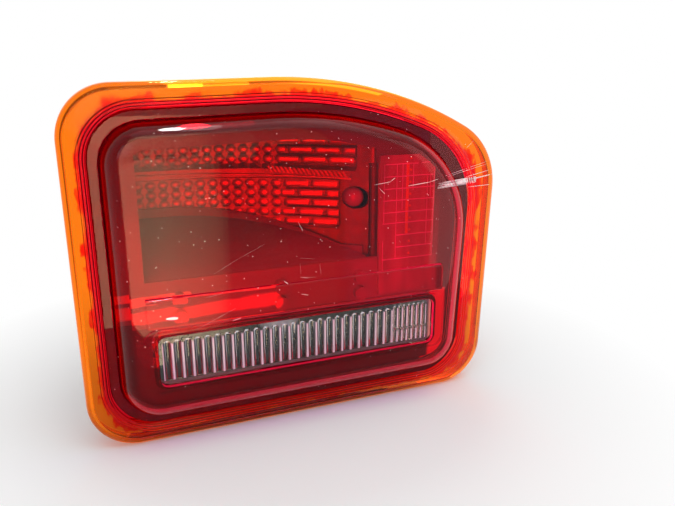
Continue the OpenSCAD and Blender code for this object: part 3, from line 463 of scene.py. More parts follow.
# from dark to light along an axis or by a mark on the points
tintedLooks = {
    "markerMetal": {
        "dark": (0.4, 0.3, 0.26), "light": (0.5, 0.4, 0.34), "across": ("X", 20, 60), "rough": (0.25, 0.4),
        "scale": 300},
    # ladderPrisms: the raised parts are painted white, a painted highlight, and orange near the bright bar, a
    # painted glow
    "ladderPrisms": {
        "dark": (0.55, 0.18, 0.28), "light": (1.0, 1.0, 1.0), "attribute": "ridge", "warm": (1.0, 0.4, 0.05),
        "metal": 0.15, "rough": (0.15, 0.3), "scale": 120, "lowest": 0.6, "stretch": (1, 1, 0.15)},
    "tailMetal": {
        "dark": (0.09, 0.05, 0.03), "light": (0.10, 0.055, 0.05), "across": ("X", 10, 19),
        "flange": ("X", 22.6, 23.6), "flangeTone": (0.2, 0.11, 0.10), "rough": (0.25, 0.4), "scale": 240},
    # painted highlight: the pillow tops are painted lighter than the hollows between them; painted shade: the
    # strips are darker towards the left
    "pillowMetal": {
        "dark": (0.13, 0.065, 0.03), "light": (0.42, 0.26, 0.09), "attribute": "dome", "grow": ("X", -140, 5),
        "rough": (0.36, 0.5), "scale": 160, "lowest": 0.7},
    # troughMetal: the reversing reflector is painted light at the right below the strip and on its right
    # wall, and dark elsewhere, a painted reflection and painted shade
    "troughMetal": {
        "dark": (0.045, 0.045, 0.042), "light": (0.85, 0.84, 0.82), "across": ("X", 30, 38),
        "below": ("Z", -50.2, -50.9), "wall": ("X", 56.3, 56.8), "rough": (0.22, 0.34), "scale": 200,
        "stretch": (1, 1, 0.2)},
    # chamberFloor: the chamber floor and its skirt are painted darker towards the back, painted shade under
    # the strips
    "chamberFloor": {
        "dark": (0.085, 0.04, 0.04), "light": (0.2, 0.085, 0.085), "across": ("Y", -48, -86), "metal": 0.0,
        "rough": (0.5, 0.7), "scale": 160, "stretch": (0.2, 1, 1), "bump": 0.04},
}
# dark and light colour, least and most roughness, grain's scale, bump, its depth in millimetres, metal
solidLooks = {
    "sealBlack": ((0.012, 0.010, 0.011), (0.03, 0.026, 0.028), (0.5, 0.8), 260, 0.35, 0.2, 0.0),
    "zincSteel": ((0.5, 0.5, 0.48), (0.72, 0.72, 0.70), (0.28, 0.45), 900, 0.15, 0.2, 1.0),
    "housingBlack": ((0.016, 0.016, 0.018), (0.03, 0.03, 0.033), (0.42, 0.6), 1400, 0.35, 0.2, 0.0),
    "carrierGrey": ((0.06, 0.06, 0.064), (0.095, 0.095, 0.1), (0.4, 0.55), 1100, 0.25, 0.2, 0.0),
    "rubberBlack": ((0.012, 0.012, 0.013), (0.026, 0.026, 0.028), (0.7, 0.9), 800, 0.3, 0.2, 0.0),
    "foamBlack": ((0.008, 0.008, 0.009), (0.04, 0.04, 0.042), (0.9, 1.0), 2200, 0.9, 0.5, 0.0),
    "brassStrip": ((0.55, 0.4, 0.16), (0.75, 0.58, 0.28), (0.25, 0.45), 500, 0.1, 0.2, 1.0),
    "tinnedPin": ((0.6, 0.6, 0.58), (0.8, 0.8, 0.77), (0.2, 0.35), 900, 0.1, 0.2, 1.0),
    "filamentWire": ((0.3, 0.3, 0.3), (0.5, 0.5, 0.49), (0.3, 0.5), 900, 0.1, 0.2, 1.0),
    "pegNylon": ((0.6, 0.58, 0.52), (0.72, 0.70, 0.64), (0.4, 0.55), 500, 0.12, 0.2, 0.0),
    # the pale finish of the scratches and dust, also worn by one painted highlight
    "scuffs": ((0.75, 0.66, 0.66), (0.95, 0.88, 0.87), (0.5, 0.7), 900, 0.1, 0.2, 0.0),
}
# the slots and nodes whose finish isn't named after the slot
otherFinish = {
    "lens_red": "redLens", "lens_clear": "clearLens", "optic_red": "ladderPrisms", "bezel_dark": "innerBezel",
    "metallised": "markerMetal", "tail_reflector": "tailMetal", "reversing_reflector": "troughMetal",
    "stop_tail_bulb": "stopBulbGlass", "chamber_floor": "chamberFloor", "reflector_screws": "innerBezel",
}


def finishOf(node, slotName):
    first, *others = slotName.split("_")
    slotFinish = otherFinish.get(slotName, first + "".join(word.capitalize() for word in others))
    return finishes[otherFinish.get(node, slotFinish)]


finishes = {"redLens": redLens(), "innerBezel": innerBezel()}
for make, looks in ((clearPlastic, clearLooks), (tintedMetal, tintedLooks), (solidFinish, solidLooks)):
    for name, look in looks.items():
        finishes[name] = make(name, look)
for part in frame["record"]["subparts"]:
    nodes[part["node"]].data.materials.clear()
    nodes[part["node"]].data.materials.append(finishOf(part["node"], part["material_slot"]))
print("finishes made:", len(finishes))


# the red lens: face, soft shoulder, ribbed band, rim, bar and the border round the window
lensForm = {
    "rimBack": 26.0, "groove": 12.4, "wall": 2.5,
    "crown": 1.2, "crownSteps": (1.0, 0.96, 0.9, 0.8, 0.65, 0.45, 0.2), "crownIn": -12, "hollowCrownIn": -13,
    # rings as how far each lies out from its outline, and how far behind or before the groove
    "rimEdge": ((0, 3.6), (-0.35, 2.6), (-1.2, 1.9), (-3, 1)),
    "ribs": 3, "ribFrom": 1.6, "ribPitch": 1.4, "ribFoot": 0.5,
    "ribSection": ((0.55, 0), (0.35, -0.4), (0, -0.55), (-0.35, -0.4), (-0.55, 0)),
    "shoulder": ((-0.8, 1.8), (-1.6, 4.2), (-2.5, 6.4), (-3.6, 8.3), (-5, 9.8), (-6.6, 11.0), (-8.5, 11.7),
                 (-10.2, 12.1)),
    "hollowShoulder": ((-3, 1.4), (-3.8, 3.6), (-4.8, 5.4), (-5.8, 6.9), (-7, 8), (-8.4, 8.9), (-10, 9.5)),
    "window": (-90.0, -56.5, 56.0, -31.0), "windowR": 4, "middle": (-10.0, 0.0), "steep": (0.3, 4),
    "barTop": -12.0, "barLow": -26.0, "barProud": 2.5, "barRound": 2.0, "barEnds": 4,
    "borderSide": 6.0, "borderRight": 6.5, "borderTop": 3.5, "borderLow": 3.0, "borderR": 6,
    # steps of the border as how far in each lies and its front, the middle one lowest
    "borderSteps": ((0.0, -1.0), (1.1, -1.6), (2.2, -1.25)),
}


def crownRings(grow, depth):
    base, crown = outline(faceShape, grow), lensForm["crown"]
    return [([(x * s, z * s) for x, z in base], depth - crown * (1 - s * s)) for s in lensForm["crownSteps"]]


def lensSkin():
    f, g = lensForm, lensForm["groove"]
    rings = [(outline(rimShape), f["rimBack"])]
    rings += [(outline(rimShape, grow), g + depth) for grow, depth in f["rimEdge"]]
    for k in reversed(range(f["ribs"])):
        for wide, rise in f["ribSection"]:
            grow = f["ribFrom"] + f["ribPitch"] * k + wide
            rings.append((outline(bandShape, grow), g - f["ribFoot"] + rise))
    rings += [(outline(bandShape, 0.8), g - 0.6), (outline(bandShape), g), (outline(faceShape), g)]
    rings += [(outline(faceShape, grow), g - depth) for grow, depth in f["shoulder"]]
    return rings + crownRings(f["crownIn"], 0)


def lensHollow():
    f, g, wall = lensForm, lensForm["groove"], lensForm["wall"]
    rings = [(outline(rimShape, -wall), f["rimBack"] + 1), (outline(rimShape, -wall), g + 2.6 + wall),
             (outline(rimShape, -wall - 1.2), g + 1.2 + wall), (outline(bandShape, 1), g - 0.3 + wall),
             (outline(bandShape), g + wall), (outline(faceShape, -2), g + wall)]
    rings += [(outline(faceShape, grow), g - depth) for grow, depth in f["hollowShoulder"]]
    return rings + crownRings(f["hollowCrownIn"], wall)


def buildLens():
    f, wall = lensForm, lensForm["wall"]
    body = loft("outerLens", lensSkin())
    joinCopy(body, loft("hollow", lensHollow()), "DIFFERENCE")
    left, low, right, top = f["window"]
    hole = plate(left, low, right, top, f["windowR"])
    joinCopy(body, slab("opening", hole, -6, 8.5), "DIFFERENCE")
    r, proud = f["barRound"], f["barProud"]
    profile = [(wall - 1, f["barLow"]), (wall - 1, f["barTop"])]
    profile += [(r - proud - r * math.sin(a), f["barTop"] - r + r * math.cos(a))
                for a in (math.radians(9 * k) for k in range(11))]
    profile.append((-proud, f["barLow"]))
    joinCopy(body, profileAcross("bar", profile, left - f["barEnds"], right + f["barEnds"]), "UNION")
    for step, front in f["borderSteps"]:
        edges = (left - f["borderSide"] + step, low - f["borderLow"] + step * 0.8,
                 right + f["borderRight"] - step, top + f["borderTop"] - step)
        border = slab("border", plate(*edges, f["borderR"]), front, wall)
        joinCopy(border, slab("borderHole", hole, -6, 8), "DIFFERENCE")
        joinCopy(body, border, "UNION")
    return body


def segmentDistance(points, shape):
    a = np.array(shape)
    b = np.roll(a, -1, 0)
    best = np.full(len(points), 1e9)
    for p, q in zip(a, b):
        along = q - p
        t = np.clip(((points - p) @ along) / max(along @ along, 1e-12), 0, 1)
        best = np.minimum(best, np.hypot(*(points - p - t[:, None] * along).T))
    return best


def markLens(piece):
    # rimShare runs from 0 at the band to 1 at the edge, shoulder is 1 where steep, innerSkin 1 at the back
    where = placesOf(piece)
    flat, depth, groove = where[:, [0, 2]], where[:, 1], lensForm["groove"]
    inner, outer = segmentDistance(flat, outline(bandShape)), segmentDistance(flat, outline(rimShape))
    # a point lies outside the band where it is further from the middle than the band is in its direction
    centre = np.array(lensForm["middle"])
    reach = np.hypot(*(flat - centre).T)
    angles = np.arctan2(*(flat - centre).T[::-1])
    ring = np.array(outline(bandShape)) - centre
    ringAngle = np.arctan2(ring[:, 1], ring[:, 0])
    order = np.argsort(ringAngle)
    limit = np.interp(angles, ringAngle[order], np.hypot(*ring.T)[order], period=math.tau)
    share = np.where(reach > limit + 0.05, inner / np.maximum(inner + outer, 1e-6), 0.0)
    share = np.where((depth > groove + 4) & (share > 0.3), 1.0, share)
    front = (depth < groove - 0.2) & (reach < limit)
    start, over = lensForm["steep"]
    steep = np.where(front, np.clip((depth - start) / over, 0, 1), 0)
    backward = np.array([v.normal[1] for v in piece.data.vertices])
    markPoints(piece.data, rimShare=share, shoulder=steep, innerSkin=np.where(backward > 0.2, 1.0, 0.0))


outerLens = buildLens()
markLens(outerLens)
keep(outerLens, "lens_red", finishes["redLens"], "outer_lens")


# the clear window: a plate in the lens's opening, a lip behind it and three blocks of flutes
windowForm = {
    "gap": 0.1, "front": 0.4, "back": 3.2, "lip": 2.5, "lipR": 6.5, "lipFront": 2.5, "lipBack": 4.1,
    "plain": 3.0, "fluteBase": 4.1, "cusp": 0.02, "flat": 0.3, "arch": 1.0, "topGap": 4.5, "lowGap": 1.5,
    "fineFrom": 33.0, "divide": -47.2, "coarse": (4.85, 2.1), "fine": (3.1, 1.4),  # pitch and rise
}


def fluteBlock(name, x0, x1, z0, z1, pitch, rise):
    f = windowForm
    count = max(1, round((x1 - x0) / pitch))
    step = (x1 - x0) / count
    base = f["fluteBase"] + f["cusp"]
    columns = [(x0, base, 0.0)]
    for k in range(count):
        for j in range(9):
            t = j / 8
            bulge = math.sin(math.pi * t)
            columns.append((x0 + k * step + f["flat"] + t * (step - 2 * f["flat"]),
                            base + rise * bulge ** 0.7, bulge ** 0.5))
    columns.append((x1, base, 0.0))
    points = []
    for x, d, share in columns:
        top = z1 - f["arch"] * (1 - share)
        points += [(x, f["plain"], z0), (x, d, z0), (x, d, top), (x, f["plain"], top)]
    return makePiece(name, points, ringFaces(len(columns), 4))


def buildWindow():
    f = windowForm
    left, low, right, top = lensForm["window"]
    gap, lip = f["gap"], f["lip"]
    body = slab("reversingWindow", plate(left + gap, low + gap, right - gap, top - gap, lensForm["windowR"]),
                f["front"], f["back"])
    lipShape = plate(left - lip, low - lip, right + lip, top + lip, f["lipR"])
    joinCopy(body, slab("lip", lipShape, f["lipFront"], f["lipBack"]), "UNION")
    fine = (f["fineFrom"] + 0.3, right - 2.4)
    z0, z1 = low + f["lowGap"], top - f["topGap"]
    for name, across, height, flute in (
            ("coarseFlutes", (left + 2, f["fineFrom"]), (z0, z1), f["coarse"]),
            ("upperFine", fine, (f["divide"] + 0.4, z1 + 1), f["fine"]),
            ("lowerFine", fine, (z0, f["divide"] - 0.4), f["fine"])):
        joinCopy(body, fluteBlock(name, *across, *height, *flute), "UNION", 40)
    # the creases between flutes, which the finish paints pale as a painted highlight
    offCrease = np.abs(placesOf(body)[:, 1] - f["fluteBase"] - f["cusp"])
    markPoints(body.data, cusp=np.where(offCrease < 0.008, 1.0, 0.0))
    return body


keep(buildWindow(), "lens_clear", finishes["clearLens"], "reversing_window")


# the ladder optic: a plate with raised rungs, posts, a bright bar and a column of dots
ladderForm = {
    "left": 25.5, "right": 57.5, "top": 46.5, "low": -27.0, "front": 6.3, "back": 8.5, "edgeIn": -8.5,
    # rungs as left end, right end, height
    "rungs": (
        (28.3, 47.0, 41.9), (49.0, 56.9, 42.1), (27.4, 56.9, 35.6), (27.4, 56.9, 29.3), (27.3, 56.9, 23.2),
        (27.2, 56.9, 16.9), (27.1, 56.9, 11.2), (34.8, 56.9, 4.6), (34.9, 56.9, -1.9), (27.0, 56.9, -8.2),
        (27.0, 56.6, -15.2)),
    # posts as place, low end, top end
    "posts": (
        (27.8, 11.2, 42.0), (27.4, -15.2, 2.0), (34.9, -8.2, 41.8), (38.2, 18.0, 41.8), (44.4, 28.0, 41.8),
        (52.8, -1.9, 35.0), (56.8, -8.2, 42.0), (54.6, 24.0, 35.5)),
    "ridge": 0.4, "rise": 0.9, "bright": (41.2, 5.0, 42.5), "brightHalf": 1.2, "warmHalf": 2.2,
    "dots": (44.6, 38.6, 32.3, 26.1, 19.8, 13.3, 7.0, 0.7, -5.9), "dotX": 42.9, "dotR": 0.75, "dotRise": 1.15,
}


def ridgeAlong(a, b, half, base, rise):
    (x0, z0), (x1, z1) = a, b
    length = math.hypot(x1 - x0, z1 - z0)
    nx, nz = -(z1 - z0) / length * half, (x1 - x0) / length * half
    points = []
    for x, z in (a, b):
        points += [(x - nx, base, z - nz), (x - nx * 0.6, base - rise, z - nz * 0.6),
                   (x + nx * 0.6, base - rise, z + nz * 0.6), (x + nx, base, z + nz)]
    return points, ringFaces(2, 4)


def buildLadder():
    f = ladderForm
    shape = plate(f["left"], f["low"], f["right"], f["top"], 0.6, 3)
    body = slab("ladderOptic", shape, f["front"], f["back"])
    root = f["front"] + 0.3
    rungs, posts, bright, dots = groups = [([], []) for _ in range(4)]
    for x0, x1, z in f["rungs"]:
        addMesh(rungs, ridgeAlong((x0, z), (x1, z), f["ridge"], root, f["rise"]))
    for x, z0, z1 in f["posts"]:
        addMesh(posts, ridgeAlong((x, z0), (x, z1), f["ridge"] * 0.6, root, f["rise"] * 0.85))
    x, z0, z1 = f["bright"]
    addMesh(bright, ridgeAlong((x, z0), (x, z1), f["brightHalf"], root, f["rise"] * 0.7))
    for z in f["dots"]:
        points = [(f["dotX"] + f["dotR"] * s * math.cos(a), root - f["dotRise"] * math.sqrt(1 - s * s),
                   z + f["dotR"] * s * math.sin(a)) for s in (1.0, 0.8, 0.45) for a in turns(12)]
        addMesh(dots, (points, ringFaces(3, 12)))
    for group in groups:
        joinCopy(body, makePiece("ridges", *group), "UNION", crossing=True)
    joinCopy(body, slab("cutRound", outline(faceShape, f["edgeIn"]), -2, 12), "INTERSECT")
    across, depth, _ = placesOf(body).T
    # the ridge mark paints the raised parts white, a painted highlight, and the mark beside it paints those
    # near the bright bar orange, a painted glow
    ridge = np.where(depth < f["front"] - 0.25, 1.0, 0.0)
    nearBright = np.abs(across - f["bright"][0] - 0.6) < f["warmHalf"]
    markPoints(body.data, ridge=ridge, warm=np.where(nearBright & (np.abs(depth - root) > 0.05), ridge, 0.0))
    return body


keep(buildLadder(), "optic_red", finishes["ladderPrisms"], "marker_optic")


# pillows and flutes on the tail reflector
stripForm = {
    "left": -92.0, "pitchX": 6.0, "pitchZ": 5.1, "rise": 1.3, "lift": 1.35, "fluteFrom": -17.0, "cells": 12,
    "oval": 0.82, "fluteFlat": 0.72, "fluteEdge": 0.04, "fluteEnd": 0.55, "least": 0.25, "floorClear": 1.2,
    # each strip's low edge, rows and right end
    "strips": ((40.8, 3, 16.0), (7.6, 5, 9.0)),
    # the reflector's curve and the floor's slope, as in the part's source
    "bendFrom": -75.0, "bendTo": 24.0, "bendBy": 44.5, "back": 55.0,
    "floorAt": 15.9, "floorDepth": 52.0, "floorSlope": 0.62,
    # the plain groove between the strips, and the bead along it
    "plainTo": 14.0, "grooveLow": 33.6, "grooveTop": 40.8, "grooveOut": 1.2,
    "bead": 34.6, "beadFrom": -90.0, "beadFall": 0.02, "beadOut": 1.9, "beadR": 0.5,
}
# the slanted teeth above the groove
toothForm = {
    "count": 18, "from": -22.0, "pitch": 2.0, "low": 36.4, "fall": 0.07, "back": 1.0, "front": 2.2,
    "section": ((0.0, 0.0), (1.1, 0.0), (-0.7, 3.2), (-1.8, 3.2)),
}


def sweep(x):
    f = stripForm
    scale = (f["bendTo"] - f["bendFrom"]) ** 2 / f["bendBy"]
    return f["back"] - ((x - f["bendFrom"]) ** 2 / scale if x > f["bendFrom"] else 0.0)


def floorLine(x):
    return stripForm["floorAt"] - (stripForm["floorDepth"] - sweep(x)) * stripForm["floorSlope"]


def spread(low, high, count):
    return [low + (high - low) * k / count for k in range(count + 1)]


def domeHeight(x, t, u):
    # t and u run from -1 to 1 across one cell
    f = stripForm
    if x < f["fluteFrom"]:
        away = (t * t + u * u) / f["oval"] ** 2
    else:
        away = max(0.0, abs(t) - f["fluteFlat"]) ** 2 / f["fluteEdge"] + u * u / f["fluteEnd"]
    return math.sqrt(max(0.0, 1 - away))


def heightSkin(xs, zs, height):
    # a skin on the reflector, height gives how far each point stands off and how light it is painted, a
    # painted highlight
    front, back, level = [], [], []
    for x in xs:
        for z in zs:
            off, share = height(x, z)
            front.append((x, sweep(x) - off, z))
            back.append((x, sweep(x) + 0.5, z))
            level.append(share)
    nx, nz = len(xs) - 1, len(zs) - 1
    at = lambda i, j: i * (nz + 1) + j
    faces = [(at(i, j), at(i + 1, j), at(i + 1, j + 1), at(i, j + 1)) for i in range(nx) for j in range(nz)]
    size = (nx + 1) * (nz + 1)
    faces += [tuple(size + k for k in face[::-1]) for face in faces]
    edge = [at(i, 0) for i in range(nx + 1)] + [at(nx, j) for j in range(1, nz + 1)]
    edge += [at(i, nz) for i in range(nx - 1, -1, -1)] + [at(0, j) for j in range(nz - 1, 0, -1)]
    faces += [(p, q, q + size, p + size) for p, q in zip(edge, edge[1:] + edge[:1])]
    return (front + back, faces), level + [0.0] * size


def addStrip(total, levels, lowZ, rows, rightX):
    f = stripForm
    count = math.floor((rightX - f["left"]) / f["pitchX"])
    wide = (rightX - f["left"]) / count

    def height(x, z):
        row = min(rows - 1, int((z - lowZ) / f["pitchZ"]))
        u = 2 * (z - lowZ) / f["pitchZ"] - 2 * row - 1
        if x < f["fluteFrom"]:
            t = 2 * (((x - f["left"]) / wide) % 1) - 1
        else:
            t = 2 * (((x - f["left"]) / wide / 2 + row / 2) % 1) - 1
        inside = z > floorLine(x) + f["floorClear"] and x < rightX - 0.3
        dome = domeHeight(x, t, u) if inside else 0.0
        return f["lift"] + f["rise"] * max(dome, f["least"]), dome

    skin, level = heightSkin(spread(f["left"], rightX, count * f["cells"]),
                             spread(lowZ, lowZ + rows * f["pitchZ"], rows * f["cells"]), height)
    addMesh(total, skin)
    levels += level


def slantedTeeth():
    f = toothForm
    total = ([], [])
    for k in range(f["count"]):
        x = f["from"] + f["pitch"] * k
        z = f["low"] - f["fall"] * (x - f["from"])
        points = []
        for dx, dz in f["section"]:
            depth = sweep(x + dx)
            points += [(x + dx, depth - f["back"], z + dz), (x + dx, depth - f["front"], z + dz)]
        faces = [(0, 2, 4, 6), (7, 5, 3, 1), (0, 1, 3, 2), (2, 3, 5, 4), (4, 5, 7, 6), (6, 7, 1, 0)]
        addMesh(total, (points, faces))
    return total


def buildStrips():
    f = stripForm
    total, highlightShares = ([], []), []
    for lowZ, rows, rightX in f["strips"]:
        addStrip(total, highlightShares, lowZ, rows, rightX)
    groove, level = heightSkin(spread(f["left"], f["plainTo"], 54), [f["grooveLow"], f["grooveTop"]],
                               lambda x, z: (f["grooveOut"], 0.0))
    addMesh(total, groove)
    highlightShares += level
    teeth = slantedTeeth()
    bead = tube([(x, sweep(x) - f["beadOut"], f["bead"] - f["beadFall"] * (x + 20))
                 for x in spread(f["beadFrom"], f["plainTo"], 24)], f["beadR"], 8)
    # the teeth and the bead are painted lighter than the plain groove, a painted highlight
    for extra, share in ((teeth, 0.3), (bead, 0.9)):
        addMesh(total, extra)
        highlightShares += [share] * len(extra[0])
    return makePiece("pillowStrips", *total, 50, dome=highlightShares)


keep(buildStrips(), "metallised", finishes["pillowMetal"])


# the skirt along the chamber floor's front edge
edgeForm = {
    "right": 19.0, "steps": 60, "rise": 1.0, "leastTop": -1.5, "leastTall": 0.5, "wall": 1.3, "inside": 0.2,
    "out": 1.5, "narrowFrom": 9.4, "narrowOut": 0.6, "low": 14.3, "depth": 50.0, "slope": 0.5, "drop": 2.6,
}


def buildEdge():
    f = edgeForm
    points = []
    for x in spread(stripForm["left"], f["right"], f["steps"]):
        top = max(floorLine(x) + f["rise"], f["leastTop"])
        low = min(top - f["leastTall"], f["low"] - (f["depth"] - sweep(x)) * f["slope"] - f["drop"])
        out = f["out"] if x < f["narrowFrom"] else f["narrowOut"]
        front, back = sweep(x) - out - f["wall"], sweep(x) - f["inside"]
        points += [(x, front, low), (x, front, top), (x, back, top), (x, back, low)]
    return makePiece("floorEdge", points, ringFaces(f["steps"] + 1, 4))


keep(buildEdge(), "bezel_dark", finishes["chamberFloor"])


# threaded studs
studForm = {
    "places": (-64.0, 64.0), "neck": 3.3, "r": 3.0, "root": 2.5, "pitch": 1.0, "plain": 1.5, "reach": 22.0,
    "headR": 5.6, "headTop": 79.5, "headBack": 83.5, "bevel": 0.3, "taper": 0.8,
    "sides": 28, "stepsPerTurn": 5,
}


def threadedStud(x0):
    f = studForm
    depth, tip = lamp["depth"] + f["plain"], lamp["depth"] + f["reach"]
    rings = [(f["headR"] - f["bevel"], f["headTop"]), (f["headR"], f["headTop"] + f["bevel"]),
             (f["headR"], f["headBack"]), (f["neck"], f["headBack"]), (f["neck"], lamp["depth"]),
             (f["r"], lamp["depth"] + 0.01), (f["r"], depth)]
    points = [(x0 + r * math.cos(a), d, r * math.sin(a)) for r, d in rings for a in turns(f["sides"])]
    count = len(rings)
    while depth < tip - 0.01:
        depth = min(depth + f["pitch"] / f["stepsPerTurn"], tip)
        widest = f["r"] - f["taper"] + f["taper"] * min(1.0, tip - depth)
        for k, a in enumerate(turns(f["sides"])):
            turn = (depth / f["pitch"] + k / f["sides"]) % 1
            r = min(f["root"] + (f["r"] - f["root"]) * abs(2 * turn - 1), widest)
            points.append((x0 + r * math.cos(a), depth, r * math.sin(a)))
        count += 1
    return points, ringFaces(count, f["sides"])


studs = ([], [])
for x in studForm["places"]:
    addMesh(studs, threadedStud(x))
keep(makePiece("threadedStuds", *studs), "zinc_steel", finishes["zincSteel"], "mounting_studs")


# coiled filaments, each on two posts
coilForm = {"turns": 9, "steps": 14, "r": 0.33, "wire": 0.1, "post": 0.26, "spacing": 3}
filamentForms = {
    "stopTailFilament": {"at": (16.5, 24.0), "coil": 24.0, "foot": 40.0, "half": 2.4, "count": 2,
                         "replaces": "stop_tail_filament"},
    "markerFilament": {"at": (30.0, 6.0), "coil": 29.0, "foot": 39.0, "half": 2.0, "count": 1,
                       "replaces": "marker_filament"},
    "reversingFilament": {"at": (-20.0, -47.25), "coil": 41.5, "foot": 58.6, "half": 3.0, "count": 1,
                          "replaces": "reversing_filament"},
}


def filamentMesh(f):
    c, total, x = coilForm, ([], []), f["at"][0]
    tall = f["foot"] - f["coil"] - 0.2
    for k in range(f["count"]):
        level = f["at"][1] + (k - (f["count"] - 1) / 2) * c["spacing"]
        for side in (-1, 1):
            post = [(x + side * f["half"], f["foot"] - t * tall / 6, level) for t in range(7)]
            addMesh(total, tube(post, c["post"]))
        coil = []
        for i in range(c["turns"] * c["steps"] + 1):
            t = i / (c["turns"] * c["steps"])
            a = math.tau * c["turns"] * t
            coil.append((x - f["half"] + 2 * f["half"] * t, f["coil"] + 0.32 - c["r"] * math.cos(a),
                         level + c["r"] * math.sin(a)))
        addMesh(total, tube(coil, c["wire"], 6))
    return total


for name, form in filamentForms.items():
    keep(makePiece(name, *filamentMesh(form)), "filament_wire", finishes["filamentWire"], form["replaces"])


# scratches, dust and one painted highlight, which lie on the lens where the picture shows them
view = {
    "target": (0.0, -0.095, 0.0), "azimuth": -22.0, "elevation": 16.0, "distance": 0.320,
    "lens": 34.133, "sensor": 36.0, "width": 675, "height": 506,
}
wearAndHighlight = {
    # each scratch from one place in the picture to another, then its width in millimetres; the first is no
    # scratch but a pale oval on the bar, a painted highlight
    "scratches": [
        ((166, 319.2), (178, 318.2), 1.5),
        ((445, 176), (488, 161), 0.2), ((447, 177), (489, 163), 0.16), ((466, 177), (492, 169), 0.3),
        ((464, 181), (492, 174), 0.6), ((468, 187), (493, 184), 0.3), ((408, 186), (430, 182), 0.26),
        ((430, 182), (438, 179), 0.16), ((374, 185), (390, 182), 0.16), ((390, 182), (395, 178), 0.16),
        ((379, 188), (385, 194), 0.12), ((214, 274), (240, 258), 0.03), ((240, 258), (265, 244), 0.02),
        ((196, 330), (236, 308), 0.03), ((298, 222), (303, 231), 0.12), ((205, 298), (221, 294), 0.04),
        ((232, 321), (241, 318), 0.16), ((300, 277), (308, 278), 0.10), ((301, 294), (308, 295), 0.14),
        ((300, 258), (316, 259), 0.02), ((320, 264), (321, 275), 0.02), ((304, 278), (317, 277), 0.02),
        ((300, 262), (301, 274), 0.02), ((467, 148), (473, 141), 0.10), ((284, 281), (288, 284), 0.20),
    ],
    "sunk": 2e-5, "proud": 4e-5,
    # a smear of fine scratches: two ends, a count, how far each may lie off, and the widths
    "smear": ((437, 186), (476, 179), 60), "smearOff": (-2.6, 3.2), "smearWidths": (0.06, 0.34),
    # specks at known places, then dust spread over a field up to a count, with sizes in millimetres
    "specks": ((322, 241), (330, 247), (287, 283), (191, 232), (448, 248)), "speckSize": 0.22,
    "dust": 320, "dustField": ((105, 480), (110, 400), (0.06, 0.24)), "seed": 7,
}


def cameraPlace():
    a, e = math.radians(view["azimuth"]), math.radians(view["elevation"])
    back = Vector((math.sin(a) * math.cos(e), -math.cos(a) * math.cos(e), math.sin(e)))
    return Vector(view["target"]) + back * view["distance"], back


def onLens(u, v):
    place, back = cameraPlace()
    turn = (-back).to_track_quat("-Z", "Y").to_matrix()
    reach = view["lens"] / view["sensor"] * view["width"]
    ray = turn @ Vector(((u - view["width"] / 2) / reach, (view["height"] / 2 - v) / reach, -1))
    hit, where, normal, _ = outerLens.ray_cast(place, ray.normalized())
    return (where, normal) if hit else None


def inMillimetres(p):
    return p[0] * 1000, p[1] * 1000 + lamp["depth"], p[2] * 1000


def scratchOrHighlightPatch(a, b, width):
    steps = max(3, int(math.dist(a, b) / 2))
    spots = [(a[0] + (b[0] - a[0]) * k / steps, a[1] + (b[1] - a[1]) * k / steps) for k in range(steps + 1)]
    found = [hit for hit in (onLens(*spot) for spot in spots) if hit]
    points = []
    for k, (where, normal) in enumerate(found):
        ahead = (found[min(k + 1, len(found) - 1)][0] - found[max(k - 1, 0)][0]).normalized()
        share = 0.25 + math.sin(math.pi * (k + 0.3) / (len(found) + 0.6))
        side = ahead.cross(normal).normalized() * width / 2000 * share
        sunk = normal * wearAndHighlight["sunk"]
        for p in (where - side - sunk, where + side - sunk, where + normal * wearAndHighlight["proud"]):
            points.append(inMillimetres(p))
    return points, ringFaces(len(found), 3)


def dustSpeck(where, normal, size):
    side = normal.orthogonal().normalized()
    other, sunk = normal.cross(side), normal * wearAndHighlight["sunk"]
    points = [where + size * (math.cos(a) * side + math.sin(a) * other) - sunk for a in turns(6)]
    points.append(where + normal * size * 0.35)
    faces = [(k, (k + 1) % 6, 6) for k in range(6)] + [(5, 4, 3, 2, 1, 0)]
    return [inMillimetres(p) for p in points], faces


def buildWearAndHighlight():
    total = ([], [])
    chance = np.random.default_rng(wearAndHighlight["seed"])
    for a, b, width in wearAndHighlight["scratches"]:
        addMesh(total, scratchOrHighlightPatch(a, b, width))
    (u0, v0), (u1, v1), count = wearAndHighlight["smear"]
    for _ in range(count):
        start, end = sorted(chance.uniform(0, 1, 2))
        off = chance.uniform(*wearAndHighlight["smearOff"])
        ends = [(u0 + (u1 - u0) * t, v0 + (v1 - v0) * t + off) for t in (start, min(1, end + 0.2))]
        addMesh(total, scratchOrHighlightPatch(*ends, chance.uniform(*wearAndHighlight["smearWidths"])))
    places = [(u, v, wearAndHighlight["speckSize"]) for u, v in wearAndHighlight["specks"]]
    while len(places) < wearAndHighlight["dust"]:
        places.append(tuple(chance.uniform(*limits) for limits in wearAndHighlight["dustField"]))
    for u, v, size in places:
        spot = onLens(u, v)
        if spot:
            addMesh(total, dustSpeck(*spot, size / 1000))
    return makePiece("scratchesAndDust", *total)


keep(buildWearAndHighlight(), "lens_red", finishes["scuffs"])


# floor, world, lamps and camera, with places in metres
floorForm = {"half": 6.0, "level": -0.0935, "middle": (-0.01, -0.035), "glowFrom": 0.12, "glowTo": 0.24}
worldLook = {"ambient": 0.45, "seen": 1.0}
